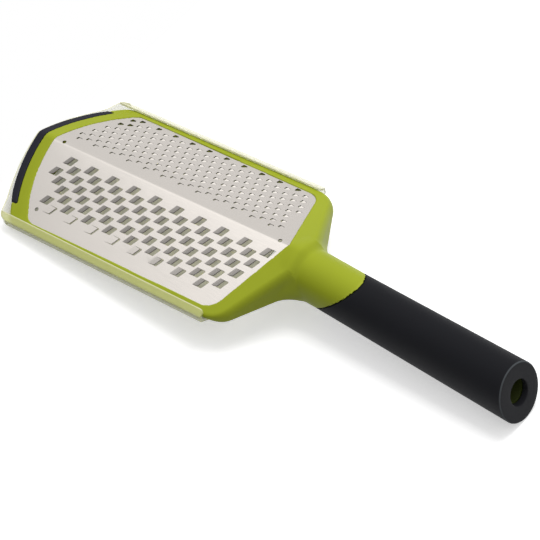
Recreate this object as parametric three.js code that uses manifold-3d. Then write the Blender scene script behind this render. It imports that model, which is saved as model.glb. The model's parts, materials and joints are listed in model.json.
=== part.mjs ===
// Paddle grater: a folded blade with coarse and fine teeth in a moulded frame, a clear guard that slides on from
// the front, and a handle that twists on a slanted joint.
// Millimetres and degrees. Every piece is built in the head's own frame: X runs along the blade's ridge from the
// front of its window towards the handle, Y across, Z up from the ridge. The group is then tipped to its rest pose.
import * as THREE from 'three';
import { mergeVertices } from 'three/addons/utils/BufferGeometryUtils.js';
import Module from 'manifold-3d';

const wasm = await Module();
wasm.setup();

// Blade and its window
const RIDGE_LENGTH = 162.4;
const WINDOW_HALF_WIDTH = 44.3;
const WINDOW_FRONT_RADIUS = 75;
const WINDOW_BACK_SWEEP = 18.4;
const WINDOW_FRONT_CORNER = 7;
const WINDOW_BACK_CORNER = 9;
const ROOF_ANGLE = 18.5;
const RIDGE_RADIUS = 6;
const BLADE_THICKNESS = 0.5;
const BLADE_SINK = 0.3;
const BLADE_EMBED = 2.5;
const BLADE_CLEARANCE = 0.3;
const PIP_RADIUS = 0.9;
const PIP_INSET = 5;
const PIP_CORNER_INSET = 6;

// Coarse teeth, on the near slope
const COARSE_ROWS = 8;
const COARSE_FIRST_ROW = 8.6;
const COARSE_START = 17.6;
const COARSE_PITCH = 15.2;
const COARSE_ROW_STEP = 4.12;
const COARSE_ROW_SHIFT = 5.29;
const COARSE_LENGTH = 5;
const COARSE_HEIGHT = 5;
const COARSE_SLANT = 2.5;
const COARSE_NARROWING = 0.2;
const COARSE_TONGUE = 0.6;
const COARSE_TAPER = 0.3;
const COARSE_LIFT = 1;
const COARSE_FRONT_MARGIN = 9.5;
const COARSE_BACK_MARGIN = 4;

// Fine teeth, on the far slope
const FINE_ROWS = 16;
const FINE_LAST_ROW = 44.5;
const FINE_START = 22.5;
const FINE_PITCH = 12.2;
const FINE_ROW_STEP = 2.46;
const FINE_ROW_SHIFT = 4.88;
const FINE_LENGTH = 2.2;
const FINE_HEIGHT = 2;
const FINE_LEAN = 0.2;
const FINE_TONGUE = 0.75;
const FINE_LIFT = 0.7;
const FINE_FRONT_MARGIN = 6.5;
const FINE_BACK_MARGIN = 4.5;

// Frame
const LIP_WIDTH = 6;
const LIP_RISE = 0.6;
const LIP_EDGE = 1.6;
const RAIL_FOOT = 1.8;
const FRAME_DEPTH = 20.5;
const FRONT_BAND = 12.4;
const FRAME_FRONT_RADIUS = 84;
const FRAME_FRONT_CORNER = 10;
const SHOULDER_OVERHANG = 6.6;
const SHOULDER_ANGLE = 30;
const SHOULDER_CORNER = 16;
const TOE_SETBACK = 9;
const TOE_ANGLE = 12;
const RIDGE_RUNOUT = 4.5;

// Soft pad in the front edge
const PAD_WIDTH = 4.8;
const PAD_HALF_LENGTH = 41;
const PAD_CORNER = 1.5;
const PAD_CLEARANCE = 0.3;
const PAD_PROUD = 0.2;

// Guard
const GUARD_CLEARANCE = 0.4;
const GUARD_WALL = 1.2;
const GUARD_FRONT_GAP = 0.6;
const GUARD_FRONT_DROP = 1;
const GUARD_FLARE = 15;
const GUARD_CORNER_STEP = 4;
const GUARD_LENGTH = 156.7;
const GUARD_FLANGE = 4.9;

// Neck and handle, round an axis that dips away from the ridge
const HANDLE_PITCH = 8;
const NECK_LENGTH = 28.4;
const NECK_DROP = 18.8;
const NECK_RADIUS = 13.4;
const NECK_BLEND_START = 32;
const NECK_BLEND_END = 15;
const NECK_ROOT_HALF_WIDTH = 26;
const MITRE_ANGLE = 45;
const MITRE_GAP = 0.3;
const HANDLE_LENGTH = 105.8;
const GRIP_FLARE = 1.45;
const GRIP_WALL = 2.5;
const GRIP_END_WALL = 3;
const GRIP_END_TILT = 21;
const GRIP_CLEARANCE = 0.3;
const END_HOLE_RADIUS = 6.5;
const END_BORE_DEPTH = 60;

// Twist joint, measured along the mitre's normal
const PRESS_GAP = 0.05;
const RUN_GAP = 0.06;
const SEAT_GAP = 0.3;
const INSERT_RADIUS = 3.2;
const INSERT_LENGTH = 10.5;
const INSERT_RECESS = 2.5;
const THREAD_RADIUS = 1.5;
const THREAD_LENGTH = 9;
const AXLE_RADIUS = 2.2;
const CORE_WEB = 3;
const POCKET_RADIUS = 3.9;
const WASHER_RADIUS = 3.6;
const WASHER_THICKNESS = 0.8;
const SCREW_HEAD_RADIUS = 3.5;
const SCREW_HEAD_HEIGHT = 2;
const SCREW_SOCKET_RADIUS = 1.3;
const SCREW_SOCKET_DEPTH = 1.2;
const PIVOT_SPRING_LENGTH = 3.6;
const PIVOT_SPRING_WIRE = 0.6;
const PIVOT_SPRING_TURNS = 2.5;
const BALL_RADIUS = 1.2;
const BALL_CIRCLE = 8.4;
const BALL_SINK = 0.55;
const BALL_SPRING_LENGTH = 2.2;
const BALL_SPRING_RADIUS = 0.9;
const BALL_SPRING_WIRE = 0.3;
const BALL_SPRING_TURNS = 2.5;
const TRACK_DEPTH = 0.7;
const DIMPLE_DEPTH = 0.2;
const STOP_CIRCLE = 5.2;
const STOP_RADIUS = 0.8;
const STOP_IN_CORE = 4.8;
const STOP_IN_NECK = 1.5;
const STOP_TWIST = 180;

// Facets
const CORNER_STEPS = 6;
const FRONT_STEPS = 10;
const RIDGE_STEPS = 2;
const ROUND_SIDES = 40;
const SMALL_SIDES = 20;

// Derived values
const DEG = Math.PI / 180;
const roof = ROOF_ANGLE * DEG;
const bend = RIDGE_RADIUS * roof;
const bendHalf = RIDGE_RADIUS * Math.sin(roof);
const sweep = WINDOW_BACK_SWEEP / WINDOW_HALF_WIDTH;
const lipHalf = WINDOW_HALF_WIDTH + LIP_WIDTH;
const frontTip = -FRONT_BAND;
const toeX = frontTip + TOE_SETBACK;
const mitre = new THREE.Vector3(RIDGE_LENGTH + NECK_LENGTH, 0, -NECK_DROP);
const pitch = HANDLE_PITCH * DEG;
const taper = GRIP_FLARE / HANDLE_LENGTH;
const endTilt = GRIP_END_TILT * DEG;
const REACH = 4 * (RIDGE_LENGTH + NECK_LENGTH + HANDLE_LENGTH);

// Solids
function bodyOf(geometry) {
  const bare = geometry.clone();
  bare.deleteAttribute('normal');
  bare.deleteAttribute('uv');
  const merged = mergeVertices(bare, 1e-4);
  const vertProperties = new Float32Array(merged.attributes.position.array);
  const triVerts = new Uint32Array(merged.index.array);
  return new wasm.Manifold(new wasm.Mesh({ numProp: 3, vertProperties, triVerts }));
}

function geometryOf(body) {
  const { vertProperties, triVerts } = body.getMesh();
  const geometry = new THREE.BufferGeometry();
  geometry.setAttribute('position', new THREE.BufferAttribute(vertProperties, 3));
  geometry.setIndex(new THREE.BufferAttribute(triVerts, 1));
  geometry.computeVertexNormals();
  return geometry;
}

function extruded(outline, depth) {
  return new THREE.ExtrudeGeometry(new THREE.Shape(outline), { depth, bevelEnabled: false });
}

function prismX(outline, low, high) {
  const turn = new THREE.Matrix4().makeBasis(
    new THREE.Vector3(0, 1, 0), new THREE.Vector3(0, 0, 1), new THREE.Vector3(1, 0, 0));
  return bodyOf(extruded(outline, high - low).applyMatrix4(turn).translate(low, 0, 0));
}

function prismY(outline, low, high) {
  const turn = new THREE.Matrix4().makeBasis(
    new THREE.Vector3(1, 0, 0), new THREE.Vector3(0, 0, 1), new THREE.Vector3(0, -1, 0));
  return bodyOf(extruded(outline, high - low).applyMatrix4(turn).translate(0, high, 0));
}

function prismZ(outline, low, high) {
  return bodyOf(extruded(outline, high - low).translate(0, 0, low));
}

// An upright prism whose lower edge is cut back by a chamfer
function chamferedZ(outline, low, high, cutIn, cutUp) {
  const geometry = new THREE.ExtrudeGeometry(new THREE.Shape(outline), {
    depth: high - low, bevelThickness: cutUp, bevelSize: cutIn, bevelOffset: -cutIn, bevelSegments: 1,
  });
  return bodyOf(geometry.translate(0, 0, low + cutUp));
}

function cone(radiusLow, radiusHigh, low, high, sides) {
  const geometry = new THREE.CylinderGeometry(radiusHigh, radiusLow, high - low, sides);
  return geometry.rotateX(Math.PI / 2).translate(0, 0, (low + high) / 2);
}

function rod(radius, low, high, sides = SMALL_SIDES) {
  return cone(radius, radius, low, high, sides);
}

// A body of revolution round Z from a closed [radius, height] profile, counter-clockwise
function turned(profile, sides = SMALL_SIDES) {
  const points = [...profile, profile[0]].map(([radius, height]) => new THREE.Vector2(radius, height));
  return new THREE.LatheGeometry(points, sides).rotateX(Math.PI / 2);
}

function ring(inner, outer, low, high, sides = SMALL_SIDES) {
  return turned([[outer, low], [outer, high], [inner, high], [inner, low]], sides);
}

function halfSpace(frame, from) {
  return bodyOf(new THREE.BoxGeometry(REACH, REACH, REACH).translate(0, 0, from + REACH / 2).applyMatrix4(frame));
}

// Outlines
function roundedOutline(corners) {
  return corners.flatMap(([x, y, radius = 0], index) => {
    const corner = new THREE.Vector2(x, y);
    if (radius === 0) return [corner];
    const before = corners.at(index - 1);
    const after = corners[(index + 1) % corners.length];
    const back = new THREE.Vector2(before[0], before[1]).sub(corner).normalize();
    const ahead = new THREE.Vector2(after[0], after[1]).sub(corner).normalize();
    const half = Math.acos(back.dot(ahead)) / 2;
    const middle = back.clone().add(ahead).setLength(radius / Math.sin(half)).add(corner);
    const start = corner.clone().addScaledVector(back, radius / Math.tan(half)).sub(middle);
    const turnBy = Math.sign(ahead.cross(back)) * (Math.PI - 2 * half);
    return Array.from({ length: CORNER_STEPS + 1 }, (_, step) => {
      const angle = start.angle() + turnBy * step / CORNER_STEPS;
      return new THREE.Vector2(Math.cos(angle), Math.sin(angle)).multiplyScalar(radius).add(middle);
    });
  });
}

function grown(outline, distance) {
  const edges = outline.map((point, index) => {
    const along = outline[(index + 1) % outline.length].clone().sub(point).normalize();
    const out = new THREE.Vector2(along.y, -along.x);
    return { point: point.clone().addScaledVector(out, distance), along };
  });
  return edges.map((edge, index) => {
    const previous = edges.at(index - 1);
    const gap = edge.point.clone().sub(previous.point);
    const reach = gap.cross(edge.along) / previous.along.cross(edge.along);
    return previous.point.clone().addScaledVector(previous.along, reach);
  });
}

function bowed(y, radius) {
  return radius - Math.sqrt(radius * radius - y * y);
}

// Points of a bowed front edge from +half to -half
function bowedEdge(tip, radius, half) {
  return Array.from({ length: FRONT_STEPS + 1 }, (_, step) => {
    const y = half * (1 - 2 * step / FRONT_STEPS);
    return [tip + bowed(y, radius), y];
  });
}

function windowFront(y, grow) {
  return bowed(y, WINDOW_FRONT_RADIUS) - grow;
}

function windowBack(y, grow) {
  return RIDGE_LENGTH + grow * Math.hypot(1, sweep) - sweep * Math.abs(y);
}

function windowOutline(grow) {
  const half = WINDOW_HALF_WIDTH + grow;
  const front = WINDOW_FRONT_CORNER + grow;
  const back = WINDOW_BACK_CORNER + grow;
  return roundedOutline([
    [windowBack(0, grow), 0],
    [windowBack(half, grow), half, back],
    [windowFront(half, grow), half, front],
    ...bowedEdge(-grow, WINDOW_FRONT_RADIUS, half - 1.5 * front),
    [windowFront(half, grow), -half, front],
    [windowBack(half, grow), -half, back],
  ]);
}

function roofHeight(y, rise) {
  return rise / Math.cos(roof) - Math.abs(y) * Math.tan(roof);
}

// The roof line from +half to -half, raised square to its slopes, with the ridge rounded
function roofLine(rise, half) {
  const radius = RIDGE_RADIUS + rise;
  const crown = Array.from({ length: 2 * RIDGE_STEPS + 1 }, (_, step) => {
    const turn = roof * (1 - step / RIDGE_STEPS);
    return new THREE.Vector2(radius * Math.sin(turn), radius * Math.cos(turn) - RIDGE_RADIUS / Math.cos(roof));
  });
  const edge = roofHeight(half, rise);
  return [new THREE.Vector2(half, edge), ...crown, new THREE.Vector2(-half, edge)];
}

// Frame outlines: plan, cross section and side profile
const shoulderX = RIDGE_LENGTH - WINDOW_BACK_SWEEP + SHOULDER_OVERHANG;
const joinHalf = 0.9 * NECK_RADIUS;
const joinX = shoulderX + (lipHalf - joinHalf) * Math.tan(SHOULDER_ANGLE * DEG);
const frameFront = frontTip + bowed(lipHalf, FRAME_FRONT_RADIUS);
const framePlan = roundedOutline([
  [joinX, joinHalf],
  [shoulderX, lipHalf, SHOULDER_CORNER],
  [frameFront, lipHalf, FRAME_FRONT_CORNER],
  ...bowedEdge(frontTip, FRAME_FRONT_RADIUS, lipHalf - 1.5 * FRAME_FRONT_CORNER),
  [frameFront, -lipHalf, FRAME_FRONT_CORNER],
  [shoulderX, -lipHalf, SHOULDER_CORNER],
  [joinX, -joinHalf],
]);

const lipTop = roofHeight(lipHalf, LIP_RISE);
const footHalf = WINDOW_HALF_WIDTH + RAIL_FOOT;
const frameSection = [
  new THREE.Vector2(-footHalf, -FRAME_DEPTH),
  new THREE.Vector2(footHalf, -FRAME_DEPTH),
  new THREE.Vector2(lipHalf, lipTop - LIP_EDGE),
  ...roofLine(LIP_RISE, lipHalf),
  new THREE.Vector2(-lipHalf, lipTop - LIP_EDGE),
];

const chamfered = chamferedZ(
  framePlan, -FRAME_DEPTH, REACH, lipHalf - footHalf, FRAME_DEPTH + lipTop - LIP_EDGE);

const crownTop = RIDGE_RADIUS + LIP_RISE - RIDGE_RADIUS / Math.cos(roof);
const runoutX = RIDGE_LENGTH + BLADE_EMBED + RIDGE_RUNOUT;
const neckTopX = mitre.x - NECK_BLEND_END * Math.cos(pitch) + NECK_RADIUS * Math.sin(pitch);
const neckTopZ = mitre.z + NECK_BLEND_END * Math.sin(pitch) + NECK_RADIUS * Math.cos(pitch);
const runout = (neckTopZ - crownTop) / (neckTopX - runoutX);
const profileFront = frontTip - 2 * FRONT_BAND;
const profileBack = mitre.x;
const frameProfile = [
  new THREE.Vector2(profileFront, -FRAME_DEPTH + (toeX - profileFront) * Math.tan(TOE_ANGLE * DEG)),
  new THREE.Vector2(toeX, -FRAME_DEPTH),
  new THREE.Vector2(profileBack, -FRAME_DEPTH),
  new THREE.Vector2(profileBack, crownTop + (profileBack - runoutX) * runout),
  new THREE.Vector2(runoutX, crownTop),
  new THREE.Vector2(profileFront, crownTop + BLADE_THICKNESS),
];

// Frames of the twist joint and of the handle: their Z runs along the mitre's normal and along the handle
const mitreFrame = new THREE.Matrix4().makeRotationY(Math.PI / 2 + pitch + MITRE_ANGLE * DEG).setPosition(mitre);
const handleFrame = new THREE.Matrix4().makeRotationY(Math.PI / 2 + pitch).setPosition(mitre);
const neckFace = -MITRE_GAP / 2;
const coreFace = MITRE_GAP / 2;

// Levels along the twist axis
const insertHigh = neckFace - INSERT_RECESS;
const insertLow = insertHigh - INSERT_LENGTH;
const webTop = coreFace + CORE_WEB;
const springLow = webTop + SEAT_GAP;
const springHigh = springLow + PIVOT_SPRING_LENGTH;
const washerLow = springHigh + SEAT_GAP;
const washerHigh = washerLow + WASHER_THICKNESS;
const headLow = washerHigh + SEAT_GAP;
const headHigh = headLow + SCREW_HEAD_HEIGHT;
const axleLow = insertHigh + SEAT_GAP;
const ballLevel = coreFace + BALL_SINK;
const ballSpringLow = ballLevel + BALL_RADIUS + SEAT_GAP;
const ballPocketTop = ballSpringLow + BALL_SPRING_LENGTH + SEAT_GAP;
const ballPocketRadius = BALL_RADIUS + SEAT_GAP;

// Neck: a loft from a wide root inside the shoulder to a round bar along the handle's axis
function neckBody() {
  const rootHeight = mitre.z + NECK_BLEND_START * Math.sin(pitch);
  const root = {
    half: NECK_ROOT_HALF_WIDTH,
    up: crownTop - LIP_RISE / 2 - rootHeight,
    down: FRAME_DEPTH + rootHeight,
    power: 0.8,
  };
  const stations = [0, 0.2, 0.4, 0.6, 0.8, 1].map((t) => {
    const ease = t * t * (3 - 2 * t);
    return {
      at: NECK_BLEND_END + (NECK_BLEND_START - NECK_BLEND_END) * (1 - t),
      half: THREE.MathUtils.lerp(root.half, NECK_RADIUS, ease),
      up: THREE.MathUtils.lerp(root.up, NECK_RADIUS, ease),
      down: THREE.MathUtils.lerp(root.down, NECK_RADIUS, ease),
      power: THREE.MathUtils.lerp(root.power, 1, ease),
    };
  });
  stations.push({ ...stations.at(-1), at: -2 * NECK_RADIUS });
  const loops = stations.map(({ at, half, up, down, power }) =>
    Array.from({ length: ROUND_SIDES }, (_, side) => {
      const angle = 2 * Math.PI * side / ROUND_SIDES;
      const c = Math.cos(angle);
      const s = Math.sin(angle);
      const x = Math.sign(c) * Math.abs(c) ** power * (c > 0 ? down : up);
      const y = Math.sign(s) * Math.abs(s) ** power * half;
      return new THREE.Vector3(x, y, -at);
    }));
  const positions = [];
  const face = (...points) => points.forEach((point) => positions.push(...point));
  loops.slice(1).forEach((loop, index) => {
    const before = loops[index];
    loop.forEach((point, side) => {
      const next = (side + 1) % ROUND_SIDES;
      face(before[side], before[next], loop[next]);
      face(before[side], loop[next], point);
    });
  });
  const first = loops[0];
  const last = loops.at(-1);
  for (let side = 1; side + 1 < ROUND_SIDES; side += 1) {
    face(first[0], first[side + 1], first[side]);
    face(last[0], last[side], last[side + 1]);
  }
  const geometry = new THREE.BufferGeometry();
  geometry.setAttribute('position', new THREE.Float32BufferAttribute(positions, 3));
  return bodyOf(geometry.applyMatrix4(handleFrame));
}

function inMitre(geometry) {
  return bodyOf(geometry.applyMatrix4(mitreFrame));
}

function inHandle(geometry) {
  return bodyOf(geometry.applyMatrix4(handleFrame));
}

// Half-ring slot for the stop pin, from its place at rest round to its place at full twist
function stopSlot() {
  const inner = STOP_CIRCLE - STOP_RADIUS - SEAT_GAP;
  const outer = STOP_CIRCLE + STOP_RADIUS + SEAT_GAP;
  const slack = (STOP_RADIUS + SEAT_GAP) / STOP_CIRCLE;
  const from = Math.PI / 2 - slack;
  const to = Math.PI / 2 + STOP_TWIST * DEG + slack;
  const arc = (radius) => Array.from({ length: SMALL_SIDES + 1 }, (_, step) => {
    const angle = from + (to - from) * step / SMALL_SIDES;
    return new THREE.Vector2(radius * Math.cos(angle), radius * Math.sin(angle));
  });
  const depth = STOP_IN_NECK + SEAT_GAP + MITRE_GAP;
  const outline = [...arc(outer), ...arc(inner).reverse()];
  return inMitre(extruded(outline, depth + MITRE_GAP).translate(0, 0, neckFace - STOP_IN_NECK - SEAT_GAP));
}

function padOutline(gap, front) {
  const half = PAD_HALF_LENGTH + gap;
  const inner = bowedEdge(frontTip + PAD_WIDTH + gap, FRAME_FRONT_RADIUS, half - 2 * PAD_CORNER);
  const end = frontTip + PAD_WIDTH + gap + bowed(half, FRAME_FRONT_RADIUS);
  return roundedOutline([
    ...front,
    [end, -half, PAD_CORNER + gap],
    ...inner.reverse(),
    [end, half, PAD_CORNER + gap],
  ]);
}

function headFrame() {
  const ringBody = prismX(frameSection, profileFront, profileBack)
    .intersect(chamfered)
    .intersect(prismY(frameProfile, -REACH, REACH));
  const slotHalf = 2 * lipHalf;
  const slotSection = [
    ...roofLine(BLADE_CLEARANCE - BLADE_SINK, slotHalf),
    ...roofLine(-BLADE_SINK - BLADE_THICKNESS - BLADE_CLEARANCE, slotHalf).reverse(),
  ];
  const slot = prismX(slotSection, profileFront, profileBack)
    .intersect(prismZ(windowOutline(BLADE_EMBED + BLADE_CLEARANCE), -REACH, REACH));
  const ahead = [[profileFront, PAD_HALF_LENGTH + PAD_CLEARANCE], [profileFront, -PAD_HALF_LENGTH - PAD_CLEARANCE]];
  const trackHalf = ballPocketRadius;
  const trackFloor = neckFace - TRACK_DEPTH;
  const dimple = ballLevel - trackFloor + DIMPLE_DEPTH;
  let body = ringBody.add(neckBody())
    .subtract(prismZ(windowOutline(0), -REACH, REACH))
    .subtract(slot)
    .subtract(prismZ(padOutline(PAD_CLEARANCE, ahead), -REACH, REACH))
    .subtract(halfSpace(mitreFrame, neckFace))
    .subtract(inMitre(rod(INSERT_RADIUS + PRESS_GAP, insertLow - SEAT_GAP, MITRE_GAP)))
    .subtract(inMitre(ring(BALL_CIRCLE - trackHalf, BALL_CIRCLE + trackHalf, trackFloor, MITRE_GAP, ROUND_SIDES)))
    .subtract(stopSlot());
  for (const side of [-1, 1]) {
    const ball = new THREE.SphereGeometry(dimple, 16, 10).translate(side * BALL_CIRCLE, 0, ballLevel);
    body = body.subtract(inMitre(ball));
  }
  return geometryOf(body);
}

function tipPad() {
  const front = bowedEdge(frontTip, FRAME_FRONT_RADIUS, PAD_HALF_LENGTH);
  const body = prismX(grown(frameSection, PAD_PROUD), profileFront, profileBack)
    .intersect(prismZ(padOutline(0, front), -REACH, REACH))
    .intersect(chamfered)
    .intersect(prismY(frameProfile, -REACH, REACH));
  return geometryOf(body);
}

// Guard: a tray that follows the frame's sides and underside, open at the back and over the blade
function guardPlan(gap, sideGap, back) {
  const half = lipHalf + sideGap;
  const tip = frontTip - gap;
  const radius = FRAME_FRONT_RADIUS + GUARD_FLARE;
  const corner = FRAME_FRONT_CORNER - GUARD_CORNER_STEP;
  const front = tip + bowed(half, radius);
  return roundedOutline([
    [back, half],
    [front, half, corner],
    ...bowedEdge(tip, radius, half - 1.5 * corner),
    [front, -half, corner],
    [back, -half],
  ]);
}

function guardShell(gap, frontGap, back) {
  return prismX(grown(frameSection, gap), profileFront, profileBack)
    .intersect(prismZ(guardPlan(frontGap, gap, back), -REACH, REACH))
    .intersect(prismY(grown(frameProfile, gap), -REACH, REACH));
}

function bladeGuard() {
  const outerGap = GUARD_CLEARANCE + GUARD_WALL;
  const back = frontTip - GUARD_FRONT_GAP - GUARD_WALL + GUARD_LENGTH;
  const flangeHalf = lipHalf + outerGap - GUARD_FLANGE;
  const opening = prismX([
    new THREE.Vector2(-flangeHalf, REACH), ...roofLine(LIP_RISE - GUARD_FRONT_DROP, flangeHalf).reverse(),
    new THREE.Vector2(flangeHalf, REACH),
  ], profileFront, profileBack);
  const body = guardShell(outerGap, GUARD_FRONT_GAP + GUARD_WALL, back)
    .subtract(guardShell(GUARD_CLEARANCE, GUARD_FRONT_GAP, profileBack))
    .subtract(opening);
  return geometryOf(body);
}

// Blade: both slopes are cut flat, with each tooth's tongue hinged on one edge of its opening, then folded
function fold(x, v, h) {
  const run = Math.abs(v);
  const turn = Math.min(run / RIDGE_RADIUS, roof);
  const past = Math.max(run - bend, 0);
  const radius = RIDGE_RADIUS - BLADE_SINK + h;
  const y = radius * Math.sin(turn) + past * Math.cos(roof);
  const z = radius * Math.cos(turn) - past * Math.sin(roof) - RIDGE_RADIUS / Math.cos(roof);
  return [x, Math.sign(v) * y, z];
}

function unfold(y) {
  return Math.sign(y) * (bend + (Math.abs(y) - bendHalf) / Math.cos(roof));
}

function planOf(v) {
  return bendHalf + (Math.abs(v) - bend) * Math.cos(roof);
}

// Tooth centres of one row that keep their margins from the window's front and back edges
function rowPlaces(v, start, step, frontMargin, backMargin) {
  const y = planOf(v);
  const low = windowFront(y, 0) + frontMargin;
  const high = windowBack(y, 0) - backMargin;
  const first = start + step * Math.ceil((low - start) / step);
  return Array.from({ length: Math.max(0, Math.floor((high - first) / step) + 1) }, (_, n) => first + n * step);
}

function coarseTeeth() {
  const teeth = [];
  const last = Math.abs(unfold(WINDOW_HALF_WIDTH)) - COARSE_HEIGHT / 2;
  for (let row = 0; row < COARSE_ROWS; row += 1) {
    const v = COARSE_FIRST_ROW + row * COARSE_ROW_STEP;
    if (v > last) break;
    const start = COARSE_START + row * COARSE_ROW_SHIFT;
    for (const x of rowPlaces(v, start, COARSE_PITCH, COARSE_FRONT_MARGIN, COARSE_BACK_MARGIN)) {
      const corner = (along, out) => {
        const half = (COARSE_HEIGHT - COARSE_NARROWING * (1 + along) / 2) / 2;
        return new THREE.Vector2(x + along * COARSE_LENGTH / 2 - out * COARSE_SLANT / 2, -v - out * half);
      };
      const opening = [corner(-1, 1), corner(-1, -1), corner(1, -1), corner(1, 1)];
      const free = 2 * COARSE_TONGUE - 1;
      const low = corner(free, 1);
      const high = corner(free, -1);
      const narrow = high.clone().sub(low).setLength(COARSE_TAPER);
      teeth.push({ opening, tips: [low.add(narrow), high.sub(narrow)], lift: COARSE_LIFT });
    }
  }
  return teeth;
}

function fineTeeth() {
  const teeth = [];
  const last = Math.abs(unfold(WINDOW_HALF_WIDTH)) - FINE_HEIGHT / 2;
  for (let row = 0; row < FINE_ROWS; row += 1) {
    const v = FINE_LAST_ROW - row * FINE_ROW_STEP;
    if (v > last || v < bend + FINE_HEIGHT) continue;
    const start = FINE_START - row * FINE_ROW_SHIFT;
    for (const x of rowPlaces(v, start, FINE_PITCH, FINE_FRONT_MARGIN, FINE_BACK_MARGIN)) {
      const tip = new THREE.Vector2(x - FINE_LENGTH / 2, v + FINE_HEIGHT / 2);
      const far = new THREE.Vector2(x + FINE_LENGTH / 2, v + FINE_HEIGHT / 2 - FINE_LEAN);
      const near = new THREE.Vector2(x - FINE_LENGTH / 2, v - FINE_HEIGHT / 2);
      const free = far.clone().add(near).multiplyScalar(0.5).lerp(tip, FINE_TONGUE);
      teeth.push({ opening: [far, near, tip], tips: [free], lift: FINE_LIFT });
    }
  }
  return teeth;
}

function gratingBlade() {
  const positions = [];
  const face = (...corners) => {
    for (let n = 2; n < corners.length; n += 1) positions.push(...corners[0], ...corners[n - 1], ...corners[n]);
  };
  const wall = (tops, lows, closed) => {
    for (let n = 0; n < tops.length - (closed ? 0 : 1); n += 1) {
      const next = (n + 1) % tops.length;
      face(tops[n], lows[n], lows[next], tops[next]);
    }
  };
  const tongue = (hinge, tips, lift) => {
    const loop = [[hinge[0], 0], ...tips.map((tip) => [tip, lift]), [hinge[1], 0]];
    const tops = loop.map(([point, rise]) => fold(point.x, point.y, rise));
    const lows = loop.map(([point, rise]) => fold(point.x, point.y, rise - BLADE_THICKNESS));
    face(...tops);
    face(...lows.toReversed());
    wall(tops, lows, false);
  };
  const plate = (contour, teeth) => {
    const loops = [contour, ...teeth.map((tooth) => tooth.opening)];
    const points = loops.flat();
    const tops = points.map((point) => fold(point.x, point.y, 0));
    const lows = points.map((point) => fold(point.x, point.y, -BLADE_THICKNESS));
    for (const [a, b, c] of THREE.ShapeUtils.triangulateShape(contour, loops.slice(1))) {
      face(tops[a], tops[b], tops[c]);
      face(lows[c], lows[b], lows[a]);
    }
    let first = 0;
    loops.forEach((loop, number) => {
      const order = [...loop.keys()].slice(1).concat(0).map((n) => first + n);
      wall(order.map((n) => tops[n]), order.map((n) => lows[n]), false);
      if (number > 0) tongue(loop, teeth[number - 1].tips, teeth[number - 1].lift);
      first += loop.length;
    });
  };

  const outline = windowOutline(BLADE_EMBED);
  const flat = (point) => new THREE.Vector2(point.x, unfold(point.y));
  const front = windowFront(bendHalf, BLADE_EMBED);
  const back = windowBack(bendHalf, BLADE_EMBED);
  plate([
    new THREE.Vector2(front, bend), new THREE.Vector2(back, bend),
    ...outline.filter((point) => point.y > bendHalf).map(flat),
  ], fineTeeth());
  plate([
    new THREE.Vector2(back, -bend), new THREE.Vector2(front, -bend),
    ...outline.filter((point) => point.y < -bendHalf).map(flat),
  ], coarseTeeth());

  const strip = (h) => Array.from({ length: 2 * RIDGE_STEPS + 1 }, (_, step) => {
    const v = bend * (step / RIDGE_STEPS - 1);
    const y = RIDGE_RADIUS * Math.sin(v / RIDGE_RADIUS);
    return [fold(windowFront(y, BLADE_EMBED), v, h), fold(windowBack(y, BLADE_EMBED), v, h)];
  });
  const tops = strip(0);
  const lows = strip(-BLADE_THICKNESS);
  for (let n = 0; n + 1 < tops.length; n += 1) {
    face(tops[n][0], tops[n][1], tops[n + 1][1], tops[n + 1][0]);
    face(lows[n][0], lows[n + 1][0], lows[n + 1][1], lows[n][1]);
  }
  wall(tops.map((pair) => pair[1]), lows.map((pair) => pair[1]), false);
  wall(tops.map((pair) => pair[0]).reverse(), lows.map((pair) => pair[0]).reverse(), false);

  const geometry = new THREE.BufferGeometry();
  geometry.setAttribute('position', new THREE.Float32BufferAttribute(positions, 3));
  let body = bodyOf(geometry);
  const cornerY = WINDOW_HALF_WIDTH - PIP_CORNER_INSET;
  const pips = [
    [PIP_INSET, 0],
    [RIDGE_LENGTH - PIP_INSET, 0],
    [windowFront(cornerY, 0) + PIP_CORNER_INSET, -cornerY],
  ];
  for (const [x, y] of pips) {
    body = body.subtract(bodyOf(rod(PIP_RADIUS, -REACH, REACH, 8).translate(x, y, 0)));
  }
  return geometryOf(body);
}

// Handle: a green core inside a soft sleeve, both cut on the mitre and on the slanted end
function gripRadius(along) {
  return NECK_RADIUS + taper * along;
}

function handleCone(inset, low, high) {
  return inHandle(cone(gripRadius(low) - inset, gripRadius(high) - inset, low, high, ROUND_SIDES));
}

const handleLow = -4 * NECK_RADIUS;
const handleHigh = HANDLE_LENGTH + 4 * NECK_RADIUS;
const endFrame = new THREE.Matrix4().makeRotationY(Math.PI / 2 + pitch - endTilt)
  .setPosition(new THREE.Vector3(0, 0, HANDLE_LENGTH).applyMatrix4(handleFrame));

function afterMitre(body) {
  return body.subtract(halfSpace(mitreFrame.clone().multiply(new THREE.Matrix4().makeRotationX(Math.PI)), -coreFace));
}

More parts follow.
